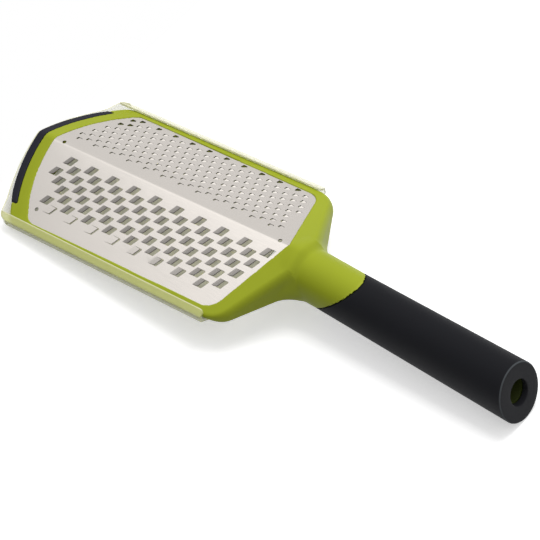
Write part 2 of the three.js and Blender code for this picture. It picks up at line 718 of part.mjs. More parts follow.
function handleCore() {
  const inset = GRIP_WALL + GRIP_CLEARANCE;
  const endInset = GRIP_END_WALL + GRIP_CLEARANCE;
  let body = afterMitre(handleCone(inset, handleLow, handleHigh))
    .subtract(halfSpace(endFrame, -endInset))
    .subtract(inHandle(rod(END_HOLE_RADIUS, HANDLE_LENGTH - endInset - END_BORE_DEPTH, handleHigh, ROUND_SIDES)))
    .subtract(inMitre(rod(AXLE_RADIUS + RUN_GAP, -MITRE_GAP, REACH)))
    .subtract(inMitre(rod(POCKET_RADIUS, webTop, REACH)))
    .subtract(inMitre(rod(STOP_RADIUS + PRESS_GAP, -MITRE_GAP, STOP_IN_CORE + SEAT_GAP).translate(0, STOP_CIRCLE, 0)));
  for (const side of [-1, 1]) {
    const pocket = rod(ballPocketRadius, -MITRE_GAP, ballPocketTop).translate(side * BALL_CIRCLE, 0, 0);
    body = body.subtract(inMitre(pocket));
  }
  return geometryOf(body);
}

function gripSleeve() {
  const cavity = handleCone(GRIP_WALL, 2 * handleLow, handleHigh).subtract(halfSpace(endFrame, -GRIP_END_WALL));
  const body = afterMitre(handleCone(0, handleLow, handleHigh))
    .subtract(halfSpace(endFrame, 0))
    .subtract(cavity)
    .subtract(inHandle(rod(END_HOLE_RADIUS, HANDLE_LENGTH / 2, handleHigh, ROUND_SIDES)));
  return geometryOf(body);
}

// Round wire wound round Z, one unbroken tube, with the least gap between its curls printed
function coil(name, radius, wire, low, high, turns) {
  const perTurn = 10;
  const sides = 5;
  const steps = Math.round(turns * perTurn);
  const base = low + wire / 2;
  const rise = high - low - wire;
  const centre = Array.from({ length: steps + 1 }, (_, step) => {
    const angle = 2 * Math.PI * turns * step / steps;
    return new THREE.Vector3(radius * Math.cos(angle), radius * Math.sin(angle), base + rise * step / steps);
  });
  const loops = centre.map((point, step) => {
    const angle = 2 * Math.PI * turns * step / steps;
    return Array.from({ length: sides }, (_, side) => {
      const around = 2 * Math.PI * side / sides;
      const out = radius + wire / 2 * Math.cos(around);
      return [out * Math.cos(angle), out * Math.sin(angle), point.z + wire / 2 * Math.sin(around)];
    });
  });
  const positions = [];
  const face = (...points) => points.forEach((point) => positions.push(...point));
  loops.slice(1).forEach((loop, index) => {
    const before = loops[index];
    loop.forEach((point, side) => {
      const next = (side + 1) % sides;
      face(before[side], loop[next], before[next]);
      face(before[side], point, loop[next]);
    });
  });
  for (let side = 1; side + 1 < sides; side += 1) {
    face(loops[0][0], loops[0][side], loops[0][side + 1]);
    face(loops.at(-1)[0], loops.at(-1)[side + 1], loops.at(-1)[side]);
  }
  let least = Infinity;
  centre.forEach((point, step) => {
    for (const other of centre.slice(step + Math.ceil(perTurn / 2))) {
      least = Math.min(least, point.distanceTo(other) - wire);
    }
  });
  console.log(`${name}: least gap between curls ${least.toFixed(2)} mm`);
  const geometry = new THREE.BufferGeometry();
  geometry.setAttribute('position', new THREE.Float32BufferAttribute(positions, 3));
  return geometry;
}

function pivotScrew() {
  const threadLow = axleLow - THREAD_LENGTH;
  const solid = inMitre(rod(THREAD_RADIUS, threadLow, headLow))
    .add(inMitre(rod(AXLE_RADIUS, axleLow, headHigh)))
    .add(inMitre(rod(SCREW_HEAD_RADIUS, headLow, headHigh)))
    .subtract(inMitre(rod(SCREW_SOCKET_RADIUS, headHigh - SCREW_SOCKET_DEPTH, headHigh + SEAT_GAP, 6)));
  return geometryOf(solid);
}

// Materials
const paint = (name, color, roughness, metalness = 0) =>
  new THREE.MeshStandardMaterial({ name, color, roughness, metalness });
const lime = paint('lime_plastic', 0xa3b01c, 0.45);
const steel = paint('stainless_steel', 0xc9c6c2, 0.35, 1);
const brass = paint('brass', 0xc8a552, 0.4, 1);
const softGrip = paint('soft_grip', 0x25272d, 0.75);
const clear = new THREE.MeshStandardMaterial({
  name: 'clear_plastic', color: 0xeef2f0, roughness: 0.1, transparent: true, opacity: 0.3,
});

// Assembly
const tool = new THREE.Group();
function place(name, geometry, material, frame) {
  const mesh = new THREE.Mesh(frame ? geometry.applyMatrix4(frame) : geometry, material);
  mesh.name = name;
  tool.add(mesh);
}

const pivotSpringRadius = (AXLE_RADIUS + POCKET_RADIUS) / 2;
const ballSpring = (name) => coil(name, BALL_SPRING_RADIUS, BALL_SPRING_WIRE, ballSpringLow,
  ballSpringLow + BALL_SPRING_LENGTH, BALL_SPRING_TURNS);
const ball = () => new THREE.SphereGeometry(BALL_RADIUS, 16, 10);

place('head_frame', headFrame(), lime);
place('grating_blade', gratingBlade(), steel);
place('tip_pad', tipPad(), softGrip);
place('blade_guard', bladeGuard(), clear);
place('handle_core', handleCore(), lime);
place('grip_sleeve', gripSleeve(), softGrip);
place('pivot_insert', ring(THREAD_RADIUS + PRESS_GAP, INSERT_RADIUS, insertLow, insertHigh), brass, mitreFrame);
place('pivot_screw', pivotScrew(), steel);
place('pivot_washer', ring(AXLE_RADIUS + RUN_GAP, WASHER_RADIUS, washerLow, washerHigh), steel, mitreFrame);
place('pivot_spring', coil('pivot_spring', pivotSpringRadius, PIVOT_SPRING_WIRE, springLow, springHigh,
  PIVOT_SPRING_TURNS), steel, mitreFrame);
place('detent_ball_upper', ball().translate(-BALL_CIRCLE, 0, ballLevel), steel, mitreFrame);
place('detent_ball_lower', ball().translate(BALL_CIRCLE, 0, ballLevel), steel, mitreFrame);
place('detent_spring_upper', ballSpring('detent_spring_upper').translate(-BALL_CIRCLE, 0, 0), steel, mitreFrame);
place('detent_spring_lower', ballSpring('detent_spring_lower').translate(BALL_CIRCLE, 0, 0), steel, mitreFrame);
place('stop_pin', rod(STOP_RADIUS, neckFace - STOP_IN_NECK, STOP_IN_CORE).translate(0, STOP_CIRCLE, 0), steel,
  mitreFrame);

// Rest pose: the guard's toe and the lowest point of the handle's end stand on the table
const endAlong = (HANDLE_LENGTH + NECK_RADIUS * Math.tan(endTilt)) / (1 - taper * Math.tan(endTilt));
const heel = new THREE.Vector3(gripRadius(endAlong), 0, endAlong).applyMatrix4(handleFrame);
const trayGap = GUARD_CLEARANCE + GUARD_WALL;
const toe = new THREE.Vector3(toeX - trayGap * Math.tan(TOE_ANGLE * DEG / 2), 0, -FRAME_DEPTH - trayGap);
tool.rotation.y = Math.atan2(heel.z - toe.z, heel.x - toe.x);

const grater = new THREE.Group();
grater.add(tool);
grater.updateMatrixWorld(true);
const box = new THREE.Box3().setFromObject(grater, true);
const middle = box.getCenter(new THREE.Vector3());
tool.position.set(-middle.x, -middle.y, -box.min.z);
grater.updateMatrixWorld(true);

export default grater;
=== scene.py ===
"""Looks of a paddle grater with a twisting handle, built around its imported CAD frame.

Sizes are millimetres in the head's own frame, as in the part's source: X runs along the blade's ridge from the
front of its window to the handle, Y across, Z up from the ridge. Meshes are turned to the row's frame, in metres.
"""

import itertools
import json
import math

import bmesh
import bpy
import numpy as np
from mathutils import Matrix, Vector
from mathutils.geometry import delaunay_2d_cdt


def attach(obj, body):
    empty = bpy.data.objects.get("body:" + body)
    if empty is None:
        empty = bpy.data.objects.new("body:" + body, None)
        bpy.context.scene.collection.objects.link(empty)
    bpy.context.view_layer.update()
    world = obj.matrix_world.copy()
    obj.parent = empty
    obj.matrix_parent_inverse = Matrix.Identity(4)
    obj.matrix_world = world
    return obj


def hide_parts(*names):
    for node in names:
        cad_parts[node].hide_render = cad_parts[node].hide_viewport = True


bl_info = {
    "name": "Paddle grater",
    "version": (1, 0, 0),
    "blender": (4, 5, 0),
    "location": "3D View > Sidebar > Grater",
    "description": "Dresses the packed grater: frame, blade, tip strip, guard, grip and stage",
    "category": "Object",
}

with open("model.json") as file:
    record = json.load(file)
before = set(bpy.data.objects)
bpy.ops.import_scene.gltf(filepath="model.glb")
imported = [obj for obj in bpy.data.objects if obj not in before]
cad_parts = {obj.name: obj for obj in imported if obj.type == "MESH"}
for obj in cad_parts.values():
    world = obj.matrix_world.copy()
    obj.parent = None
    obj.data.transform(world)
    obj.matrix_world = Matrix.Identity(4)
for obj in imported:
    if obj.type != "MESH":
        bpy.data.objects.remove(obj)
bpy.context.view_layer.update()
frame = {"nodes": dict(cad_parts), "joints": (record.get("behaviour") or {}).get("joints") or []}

# Blade and its window
RIDGE_LENGTH = 162.4
WINDOW_HALF_WIDTH = 44.3
WINDOW_FRONT_TIP = -0.6
WINDOW_FRONT_RADIUS = 71.5
WINDOW_SIDE_EASE = 1.7
WINDOW_BACK_EASE = 0.3
WINDOW_BACK_SWEEP = 18.4
WINDOW_FRONT_CORNER = 7.0
WINDOW_BACK_CORNER = 10.0
ROOF = math.radians(18.5)
RIDGE_RADIUS = 6.0
BLADE_THICKNESS = 0.5
BLADE_SINK = 0.05
PIP_RADIUS = 1.15
PIP_INSET = 6.0
PIP_CORNER_INSET = 6.0

# Coarse teeth
COARSE_ROWS = 8
COARSE_FIRST_ROW = 8.6
COARSE_START = 17.6
COARSE_PITCH = 15.2
COARSE_ROW_STEP = 4.12
COARSE_ROW_SHIFT = 5.29
COARSE_LENGTH = 5.9
COARSE_HEIGHT = 5.0
COARSE_SLANT = 2.5
COARSE_TONGUE = 0.6
COARSE_FLUSH = 0.8
FLUSH_END = 72.0
FLUSH_EASE = 60.0
COARSE_TAPER = 0.45
TOOTH_EDGE = 0.8
COARSE_FRONT_MARGIN = 9.5
COARSE_BACK_MARGIN = 4.0

# Fine teeth
FINE_ROWS = 16
FINE_LAST_ROW = 44.5
FINE_START = 22.5
FINE_PITCH = 12.2
FINE_ROW_STEP = 2.46
FINE_ROW_SHIFT = 4.88
FINE_LENGTH = 2.2
FINE_HEIGHT = 2.0
FINE_LEAN = 0.2
FINE_TONGUE = 0.85
FINE_SLIT = 1.1
FINE_SIDE_SLIT = 0.45
FINE_PLAIN_SLIT = 0.9
FINE_PLAIN_STARTS = (1, 3, 4)
FINE_FRONT_MARGIN = 5.6
FINE_BACK_MARGIN = 4.5

# Frame and tip strip
LIP_WIDTH = 6.0
LIP_RISE = 0.4
LIP_EDGE = 1.6
RAIL_FOOT = 1.8
FRAME_DEPTH = 20.5
FRONT_BAND = 13.2
FRONT_DROP = 0.7
FRAME_FRONT_RADIUS = 78.0
FRAME_FRONT_CORNER = 10.0
SHOULDER_OVERHANG = 7.2
SHOULDER_ANGLE = math.radians(30)
SHOULDER_CORNER = 16.0
TOE_SETBACK = 9.8
TOE_ANGLE = math.radians(12)
PAD_WIDTH = 5.1
PAD_HALF_LENGTH = 40.0
PAD_CORNER = 0.6
PAD_CLEARANCE = 0.3

# Guard
GUARD_CLEARANCE = 0.4
GUARD_WALL = 1.2
GUARD_FRONT_GAP = 0.3
GUARD_FRONT_WALL = 0.7
GUARD_FRONT_DROP = 1.7
GUARD_FLARE = 20.0
GUARD_CORNER_STEP = 4.0
GUARD_LENGTH = 156.7
GUARD_FLANGE = 4.1
GUARD_FAR_FLANGE = 2.9
GUARD_END_CORNER = 2.2
# Rows of the guard's mesh, from its middle, up to the floor's edge and to the top of the side wall
GUARD_FLOOR_ROWS = 13
GUARD_WALL_ROWS = 18
# Places of the guard's finishes in its list. The finish for the cut rims and the one for the flange's rim look the
# same: whiter and more opaque, a painted glow of the light carried in the clear wall
RAIL, GLOWING_EDGE, TRAY, GLOWING_RIM, PAINTED_LIME_LIGHT = range(5)

# Neck and handle
HANDLE_PITCH = math.radians(8)
NECK_LENGTH = 28.4
NECK_DROP = 18.8
NECK_RADIUS = 13.4
NECK_FILLET_TOP = 2.5
NECK_FILLET_LOW = 5.0
MITRE_ANGLE = math.radians(45)
MITRE_GAP = 0.3
HANDLE_LENGTH = 105.8
GRIP_FLARE = 1.45
GRIP_WALL = 2.5
GRIP_END_WALL = 3.0
GRIP_END_TILT = math.radians(21)
END_HOLE_RADIUS = 6.5

# Stage, in metres: the table, the lamp, the camera fitted to the photo, and directions in the studio's dome
FLOOR_HALF = 3.0
FLOOR_GAP = 0.0004
TABLE_EDGE = 0.165
KEY_PLACE = (-0.05, 0.4, 1.0)
KEY_SIZE = 0.5
KEY_POWER = 6.0
CAMERA_ANGLE = math.radians(16)
CAMERA_PLACE = (0.45214344, -0.45384026, 0.75611937)
CAMERA_RIGHT = Vector((0.78347729, 0.6133752, -0.09967048))
CAMERA_DOWN = Vector((0.42079555, -0.64168702, -0.64122451))
CAMERA_AHEAD = Vector((-0.45726846, 0.46044394, -0.76085276))
DOME_AXIS = (0.62, 0.5, 0.6)
NEAR_PANEL = (-0.501, 0.08, 0.862)
FAR_PANEL = (-0.167, 0.654, 0.734)
SKY_AXIS = (0.0, 0.45, 0.9)

# Values that follow from the sizes
LIP_HALF = WINDOW_HALF_WIDTH + LIP_WIDTH
FOOT_HALF = WINDOW_HALF_WIDTH + RAIL_FOOT
FRONT_TIP = -FRONT_BAND
TOE_X = FRONT_TIP + TOE_SETBACK
BACK_SLOPE = WINDOW_BACK_SWEEP / WINDOW_HALF_WIDTH
BEND = RIDGE_RADIUS * ROOF
BEND_HALF = RIDGE_RADIUS * math.sin(ROOF)
CROWN_CENTRE = -RIDGE_RADIUS / math.cos(ROOF)
MITRE = np.array([RIDGE_LENGTH + NECK_LENGTH, 0.0, -NECK_DROP])
HANDLE_ALONG = np.array([math.cos(HANDLE_PITCH), 0.0, -math.sin(HANDLE_PITCH)])
HANDLE_UP = np.array([math.sin(HANDLE_PITCH), 0.0, math.cos(HANDLE_PITCH)])
MITRE_TILT = HANDLE_PITCH + MITRE_ANGLE
MITRE_NORMAL = np.array([math.cos(MITRE_TILT), 0.0, -math.sin(MITRE_TILT)])


# Frames
def joint_of(name):
    """The record's row for one joint."""
    return next(joint for joint in frame["joints"] if joint["name"] == name)


def head_to_row():
    """Matrix from the head's frame in millimetres to the row's frame in metres, read from the two joints."""
    ridge = -Vector(joint_of("guard_slide")["axis"]).normalized()
    up = ridge.cross(Vector((0, 1, 0)))
    turn = Matrix((ridge, (0, 1, 0), up)).transposed()
    place = Vector(joint_of("handle_twist")["pos_m"]) - turn @ Vector(MITRE) * 0.001
    return Matrix.Translation(place) @ turn.to_4x4() @ Matrix.Scale(0.001, 4)


HEAD_TO_ROW = head_to_row()


def mm(length):
    """Millimetres of a length in metres."""
    return 1000.0 * length


def linear_of(code):
    """Linear colour of an sRGB hex value."""
    parts = [int(code[n:n + 2], 16) / 255 for n in (1, 3, 5)]
    return tuple(c / 12.92 if c <= 0.04045 else ((c + 0.055) / 1.055) ** 2.4 for c in parts)


# Outlines
def rounded_outline(corners, steps=8):
    """Closed outline with rounded corners from (x, y, radius) rows."""
    points = []
    for index, (x, y, radius) in enumerate(corners):
        corner = np.array([x, y], float)
        if radius == 0:
            points.append(corner)
            continue
        back = np.array(corners[index - 1][:2], float) - corner
        ahead = np.array(corners[(index + 1) % len(corners)][:2], float) - corner
        back /= np.linalg.norm(back)
        ahead /= np.linalg.norm(ahead)
        half = math.acos(back @ ahead) / 2
        middle = corner + (back + ahead) / np.linalg.norm(back + ahead) * radius / math.sin(half)
        first = corner + back * radius / math.tan(half) - middle
        turn = np.sign(ahead[0] * back[1] - ahead[1] * back[0]) * (math.pi - 2 * half)
        start = math.atan2(first[1], first[0])
        for step in range(steps + 1):
            angle = start + turn * step / steps
            points.append(middle + radius * np.array([math.cos(angle), math.sin(angle)]))
    return np.array(points)


def bowed(y, radius):
    """How far an arc of that radius falls back at y from its tip."""
    return radius - np.sqrt(radius * radius - np.square(y))


def bowed_edge(tip, radius, half, steps=24):
    """Points of a bowed front edge from +half to -half."""
    return [(tip + bowed(y, radius), y, 0) for y in np.linspace(half, -half, steps + 1)]


def window_front(y, grow=0.0):
    """X of the window's front edge."""
    return WINDOW_FRONT_TIP + bowed(y, WINDOW_FRONT_RADIUS) - grow


def window_back(y, grow=0.0):
    """X of the window's back edge."""
    return RIDGE_LENGTH + grow * math.hypot(1, BACK_SLOPE) - BACK_SLOPE * np.abs(y)


def window_outline(grow):
    """Outline of the window, grown by a distance."""
    half = WINDOW_HALF_WIDTH + WINDOW_SIDE_EASE + grow
    back_half = WINDOW_HALF_WIDTH + WINDOW_BACK_EASE + grow
    front = WINDOW_FRONT_CORNER + grow
    back = WINDOW_BACK_CORNER + grow
    return rounded_outline([
        (window_back(0, grow), 0, 0),
        (window_back(back_half, grow), back_half, back),
        (window_front(half, grow), half, front),
        *bowed_edge(WINDOW_FRONT_TIP - grow, WINDOW_FRONT_RADIUS, half - 1.5 * front),
        (window_front(half, grow), -half, front),
        (window_back(back_half, grow), -back_half, back),
    ])


def frame_outline():
    """Plan of the frame without its neck."""
    shoulder = RIDGE_LENGTH - WINDOW_BACK_SWEEP + SHOULDER_OVERHANG
    join_half = 0.9 * NECK_RADIUS
    join = shoulder + (LIP_HALF - join_half) * math.tan(SHOULDER_ANGLE)
    front = FRONT_TIP + bowed(LIP_HALF, FRAME_FRONT_RADIUS)
    return rounded_outline([
        (join, join_half, 0),
        (shoulder, LIP_HALF, SHOULDER_CORNER),
        (front, LIP_HALF, FRAME_FRONT_CORNER),
        *bowed_edge(FRONT_TIP, FRAME_FRONT_RADIUS, LIP_HALF - 1.5 * FRAME_FRONT_CORNER),
        (front, -LIP_HALF, FRAME_FRONT_CORNER),
        (shoulder, -LIP_HALF, SHOULDER_CORNER),
        (join, -join_half, 0),
    ], 12)


def pad_outline(gap, ahead):
    """Plan of the tip strip, grown by a gap, and carried ahead of the frame's front edge."""
    half = PAD_HALF_LENGTH + gap
    inner = FRONT_TIP + PAD_WIDTH + gap
    end = inner + bowed(half, FRAME_FRONT_RADIUS)
    return rounded_outline([
        (FRONT_TIP - ahead, half, 0),
        (FRONT_TIP - ahead, -half, 0),
        (end, -half, PAD_CORNER + gap),
        *reversed(bowed_edge(inner, FRAME_FRONT_RADIUS, half - 2 * PAD_CORNER)),
        (end, half, PAD_CORNER + gap),
    ])


# Solid fields: signed distances in millimetres, negative inside
def outline_field(outline, low, high, step=0.25):
    """A function giving the signed distance to an outline, from a fine table that is symmetric in Y."""
    xs = np.arange(low, high + step, step)
    ys = np.arange(0, LIP_HALF + 4 + step, step)
    x, y = np.meshgrid(xs, ys, indexing="ij")
    nearest = np.full(x.shape, np.inf)
    inside = np.zeros(x.shape, bool)
    for (ax, ay), (bx, by) in zip(outline, np.roll(outline, -1, axis=0)):
        dx = bx - ax
        dy = by - ay
        along = np.clip(((x - ax) * dx + (y - ay) * dy) / (dx * dx + dy * dy), 0, 1)
        nearest = np.minimum(nearest, np.square(x - ax - along * dx) + np.square(y - ay - along * dy))
        if ay != by:
            inside ^= ((ay > y) != (by > y)) & (x < ax + (y - ay) * dx / dy)
    table = np.where(inside, -1, 1) * np.sqrt(nearest)

    def distance(px, py):
        i = np.clip((px - low) / step, 0, len(xs) - 1.001)
        j = np.clip(np.abs(py) / step, 0, len(ys) - 1.001)
        i0 = i.astype(int)
        j0 = j.astype(int)
        fi = i - i0
        fj = j - j0
        lower = table[i0, j0] * (1 - fj) + table[i0, j0 + 1] * fj
        upper = table[i0 + 1, j0] * (1 - fj) + table[i0 + 1, j0 + 1] * fj
        return lower * (1 - fi) + upper * fi

    return distance


def eased(low, high, value):
    """Smooth step from 0 at low to 1 at high."""
    t = np.clip((value - low) / (high - low), 0, 1)
    return t * t * (3 - 2 * t)


def both(a, b, radius):
    """Intersection with a rounded edge."""
    corner = np.hypot(np.maximum(a + radius, 0), np.maximum(b + radius, 0))
    return np.minimum(np.maximum(a, b), -radius) + corner


def either(a, b, radius):
    """Union with a filleted join."""
    return -both(-a, -b, radius)


def roof_field(y, z, rise):
    """Height square to the roof's slopes and round its crown, above a roof raised by rise."""
    u = np.abs(y)
    slope = u * math.sin(ROOF) + z * math.cos(ROOF) - rise
    crown = np.hypot(u, z - CROWN_CENTRE) - RIDGE_RADIUS - rise
    return np.where(u * math.cos(ROOF) < (z - CROWN_CENTRE) * math.sin(ROOF), crown, slope)


def surface_net(field, low, step):
    """Vertices and quads of a field's zero surface, one vertex in each cell that it crosses."""
    shape = np.array(field.shape) - 1
    inside = field < 0
    corners = list(itertools.product((0, 1), repeat=3))

    def part(array, corner):
        return array[tuple(slice(c, c + n) for c, n in zip(corner, shape))]

    count = sum(part(inside, corner).astype(np.int8) for corner in corners)
    crossed = (count > 0) & (count < 8)
    cells = np.argwhere(crossed)
    total = np.zeros((len(cells), 3))
    hits = np.zeros(len(cells))
    for a, b in itertools.combinations(corners, 2):
        if sum(abs(p - q) for p, q in zip(a, b)) != 1:
            continue
        fa = field[tuple((cells + a).T)]
        fb = field[tuple((cells + b).T)]
        cut = (fa < 0) != (fb < 0)
        t = np.where(cut, fa / np.where(cut, fa - fb, 1), 0)
        total += np.where(cut[:, None], np.array(a) + t[:, None] * (np.array(b) - np.array(a)), 0)
        hits += cut
    points = np.asarray(low) + (cells + total / hits[:, None]) * step
    number = np.full(shape, -1)
    number[crossed] = np.arange(len(cells))
    quads = []
    for axis in range(3):
        others = [n for n in range(3) if n != axis]
        first = [slice(1, -1)] * 3
        first[axis] = slice(0, -1)
        second = list(first)
        second[axis] = slice(1, None)
        a = inside[tuple(first)]
        b = inside[tuple(second)]
        at = np.argwhere(a != b)
        at[:, others] += 1
        out = a[a != b]
        ring = []
        for da, db in ((1, 1), (0, 1), (0, 0), (1, 0)):
            cell = at.copy()
            cell[:, others[0]] -= da
            cell[:, others[1]] -= db
            ring.append(number[tuple(cell.T)])
        ring = np.stack(ring, 1)
        flip = out if axis != 1 else ~out
        quads.append(np.where(flip[:, None], ring, ring[:, ::-1]))
    return points, np.concatenate(quads)


def slopes_of(field, points, reach=0.05):
    """Gradient of a field at points."""
    columns = []
    for axis in range(3):
        shift = np.zeros(3)
        shift[axis] = reach
        ahead = field(*(points + shift).T)
        behind = field(*(points - shift).T)
        columns.append((ahead - behind) / (2 * reach))
    return np.stack(columns, 1)


def settled(field, points, limit):
    """Points moved onto a field's zero surface, and the surface's normals there."""
    start = points.copy()
    for _ in range(3):
        slope = slopes_of(field, points)
        size = np.maximum(np.sum(slope * slope, axis=1), 0.05)
        points = points - slope * (field(*points.T) / size)[:, None]
        points = start + np.clip(points - start, -limit, limit)
    slope = slopes_of(field, points)
    normals = slope / np.maximum(np.linalg.norm(slope, axis=1), 1e-9)[:, None]
    return points, normals


def edge_share(field, points, normals, reach=0.7):
    """How sharply the surface turns outwards at each point, from 0 on a flat to 1 on an edge."""
    inward = field(*(points - normals * reach).T) + reach
    return np.clip(inward / (0.5 * reach), 0, 1)


# Meshes
def new_piece(name, points, faces, material, body, node, to_row=None):
    """A mesh piece that stands for a CAD node and rides on a body."""
    mesh = bpy.data.meshes.new(name)
    mesh.from_pydata([tuple(p) for p in points], [], [tuple(int(n) for n in f) for f in faces])
    mesh.transform(to_row or HEAD_TO_ROW)
    mesh.update()
    piece = bpy.data.objects.new(name, mesh)
    bpy.context.scene.collection.objects.link(piece)
    mesh.materials.append(material)
    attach(piece, body)
    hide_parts(node)
    return piece


def applied(piece):
    """Applies a piece's modifiers to its mesh."""
    graph = bpy.context.evaluated_depsgraph_get()
    mesh = bpy.data.meshes.new_from_object(piece.evaluated_get(graph))
    old = piece.data
    piece.modifiers.clear()
    piece.data = mesh
    mesh.name = piece.name
    bpy.data.meshes.remove(old)
    return mesh


def thinned(piece, ratio):
    """Merges faces until that share of them is left."""
    lighter = piece.modifiers.new("fewer faces", "DECIMATE")
    lighter.ratio = ratio
    return applied(piece)


def smoothed(piece, field, limit):
    """Settles a piece on its field, with the field's own normals and an edge share for wear."""
    mesh = piece.data
    flat = np.empty(len(mesh.vertices) * 3)
    mesh.vertices.foreach_get("co", flat)
    back = np.array(HEAD_TO_ROW.inverted())
    ahead = np.array(HEAD_TO_ROW)
    points = flat.reshape(-1, 3) @ back[:3, :3].T + back[:3, 3]
    points, normals = settled(field, points, limit)
    share = edge_share(field, points, normals)
    placed = points @ ahead[:3, :3].T + ahead[:3, 3]
    mesh.vertices.foreach_set("co", placed.ravel())
    mesh.update()
    attribute = mesh.attributes.new("edge", "FLOAT", "POINT")
    attribute.data.foreach_set("value", share.astype(np.float32))
    mesh.shade_smooth()
    turned = normals @ (ahead[:3, :3].T * 1000)
    mesh.normals_split_custom_set_from_vertices([tuple(n) for n in turned])


# Materials
def add_node(tree, kind, settings=None, links=None):
    """Adds a node, sets its properties and input values by name, and links its inputs."""
    node = tree.nodes.new(kind)
    for name, value in (settings or {}).items():
        if isinstance(name, int) or name in node.inputs:
            node.inputs[name].default_value = value
        else:
            setattr(node, name, value)
    for name, socket in (links or {}).items():
        tree.links.new(socket, node.inputs[name])
    return node


def new_material(name):
    """An empty node material with its output and object coordinates."""
    material = bpy.data.materials.new(name)
    material.use_nodes = True
    tree = material.node_tree
    tree.nodes.clear()
    output = add_node(tree, "ShaderNodeOutputMaterial")
    place = add_node(tree, "ShaderNodeTexCoord")
    return material, tree, output, place.outputs["Object"]


def per_metre(size):
    """Texture scale that gives a pattern that many millimetres across."""
    return 1000.0 / size


def moulded_plastic(name, colour, shade, pale_wear_and_highlight, roughness, specular):
    """Moulded satin plastic: a fine spark-eroded skin, soft colour drift, and paler edges, which are rubbed wear,
    and on the grip's end rim a painted highlight.
    """
    material, tree, output, place = new_material(name)
    drift = add_node(tree, "ShaderNodeTexNoise", {"Scale": per_metre(28), "Detail": 3.0}, {"Vector": place})
    # the mould's grain is about 0.1 mm, drawn at 0.5 mm so that it shows
    grain = add_node(tree, "ShaderNodeTexNoise", {"Scale": per_metre(0.5), "Detail": 2.0}, {"Vector": place})
    tone = add_node(tree, "ShaderNodeMix", {"data_type": "RGBA"}, {"Factor": drift.outputs["Fac"]})
    tone.inputs["A"].default_value = (*shade, 1)
    tone.inputs["B"].default_value = (*colour, 1)
    edge = add_node(tree, "ShaderNodeAttribute", {"attribute_name": "edge"})
    # the edge attribute turns the colour paler: rubbed wear on the frame and strip, a painted highlight on the
    # grip's end rim
    wear_and_highlight_share = add_node(tree, "ShaderNodeMath", {"operation": "MULTIPLY", 1: 0.35})
    tree.links.new(edge.outputs["Fac"], wear_and_highlight_share.inputs[0])
    worn_and_highlit = add_node(tree, "ShaderNodeMix", {"data_type": "RGBA"}, {"Factor": wear_and_highlight_share.outputs[0]})
    tree.links.new(tone.outputs["Result"], worn_and_highlit.inputs["A"])
    worn_and_highlit.inputs["B"].default_value = (*pale_wear_and_highlight, 1)
    gloss = add_node(tree, "ShaderNodeMapRange", {"To Min": roughness - 0.05, "To Max": roughness + 0.06},
                     {"Value": drift.outputs["Fac"]})
    bump = add_node(tree, "ShaderNodeBump", {"Strength": 0.08, "Distance": 0.0001},
                    {"Height": grain.outputs["Fac"]})
    shader = add_node(tree, "ShaderNodeBsdfPrincipled", {"IOR": 1.5, "Specular IOR Level": specular},
                      {"Roughness": gloss.outputs["Result"], "Normal": bump.outputs["Normal"]})
    tree.links.new(worn_and_highlit.outputs["Result"], shader.inputs["Base Color"])
    tree.links.new(shader.outputs["BSDF"], output.inputs["Surface"])
    return material


# Sizes and colours a user may change
class GraterSizes(bpy.types.PropertyGroup):
    """Sizes of the visual pieces."""

    neck_fillet: bpy.props.FloatProperty(
        name="Neck fillet", description="Fillet between the shoulders and the neck",
        default=0.0015, min=0.001, max=0.012, precision=5, unit="LENGTH")
    shoulder_round: bpy.props.FloatProperty(
        name="Shoulder round", description="Rounding over the shoulders' top edge",
        default=0.0042, min=0.001, max=0.008, precision=5, unit="LENGTH")
    front_round: bpy.props.FloatProperty(
        name="Front round", description="Rounding over the front band's top edge",
        default=0.0011, min=0.0005, max=0.005, precision=5, unit="LENGTH")
    lip_round: bpy.props.FloatProperty(
        name="Lip round", description="Rounding of the side lips' edges",
        default=0.0007, min=0.0003, max=0.0008, precision=5, unit="LENGTH")
    mesh_step: bpy.props.FloatProperty(
        name="Mesh step", description="Grid step of the moulded pieces' meshes",
        default=0.0008, min=0.0005, max=0.0015, precision=5, unit="LENGTH")
    coarse_lift: bpy.props.FloatProperty(
        name="Coarse lift", description="How far a coarse tooth stands up",
        default=0.0008, min=0.0003, max=0.001, precision=5, unit="LENGTH")
    fine_lift: bpy.props.FloatProperty(
        name="Fine lift", description="How far a fine tooth stands up",
        default=0.00035, min=0.0001, max=0.0007, precision=5, unit="LENGTH")


class GraterColours(bpy.types.PropertyGroup):
    """Colours of the finishes."""

    lime: bpy.props.FloatVectorProperty(
        name="Lime", description="Frame plastic", subtype="COLOR", size=3, min=0, max=1,
        default=linear_of("#a3af1a"))
    steel: bpy.props.FloatVectorProperty(
        name="Steel", description="Blade", subtype="COLOR", size=3, min=0, max=1,
        default=linear_of("#f6f1ec"))
    grip: bpy.props.FloatVectorProperty(
        name="Grip", description="Soft sleeve of the handle", subtype="COLOR", size=3, min=0, max=1,
        default=linear_of("#191a1f"))
    strip: bpy.props.FloatVectorProperty(
        name="Strip", description="Soft strip in the tip", subtype="COLOR", size=3, min=0, max=1,
        default=linear_of("#242430"))
    # the guard's clear plastic; its cream tint is a painted reflection of the frame's lime in its haze
    clear: bpy.props.FloatVectorProperty(
        name="Clear", description="Guard", subtype="COLOR", size=3, min=0, max=1,
        default=linear_of("#efedc4"))


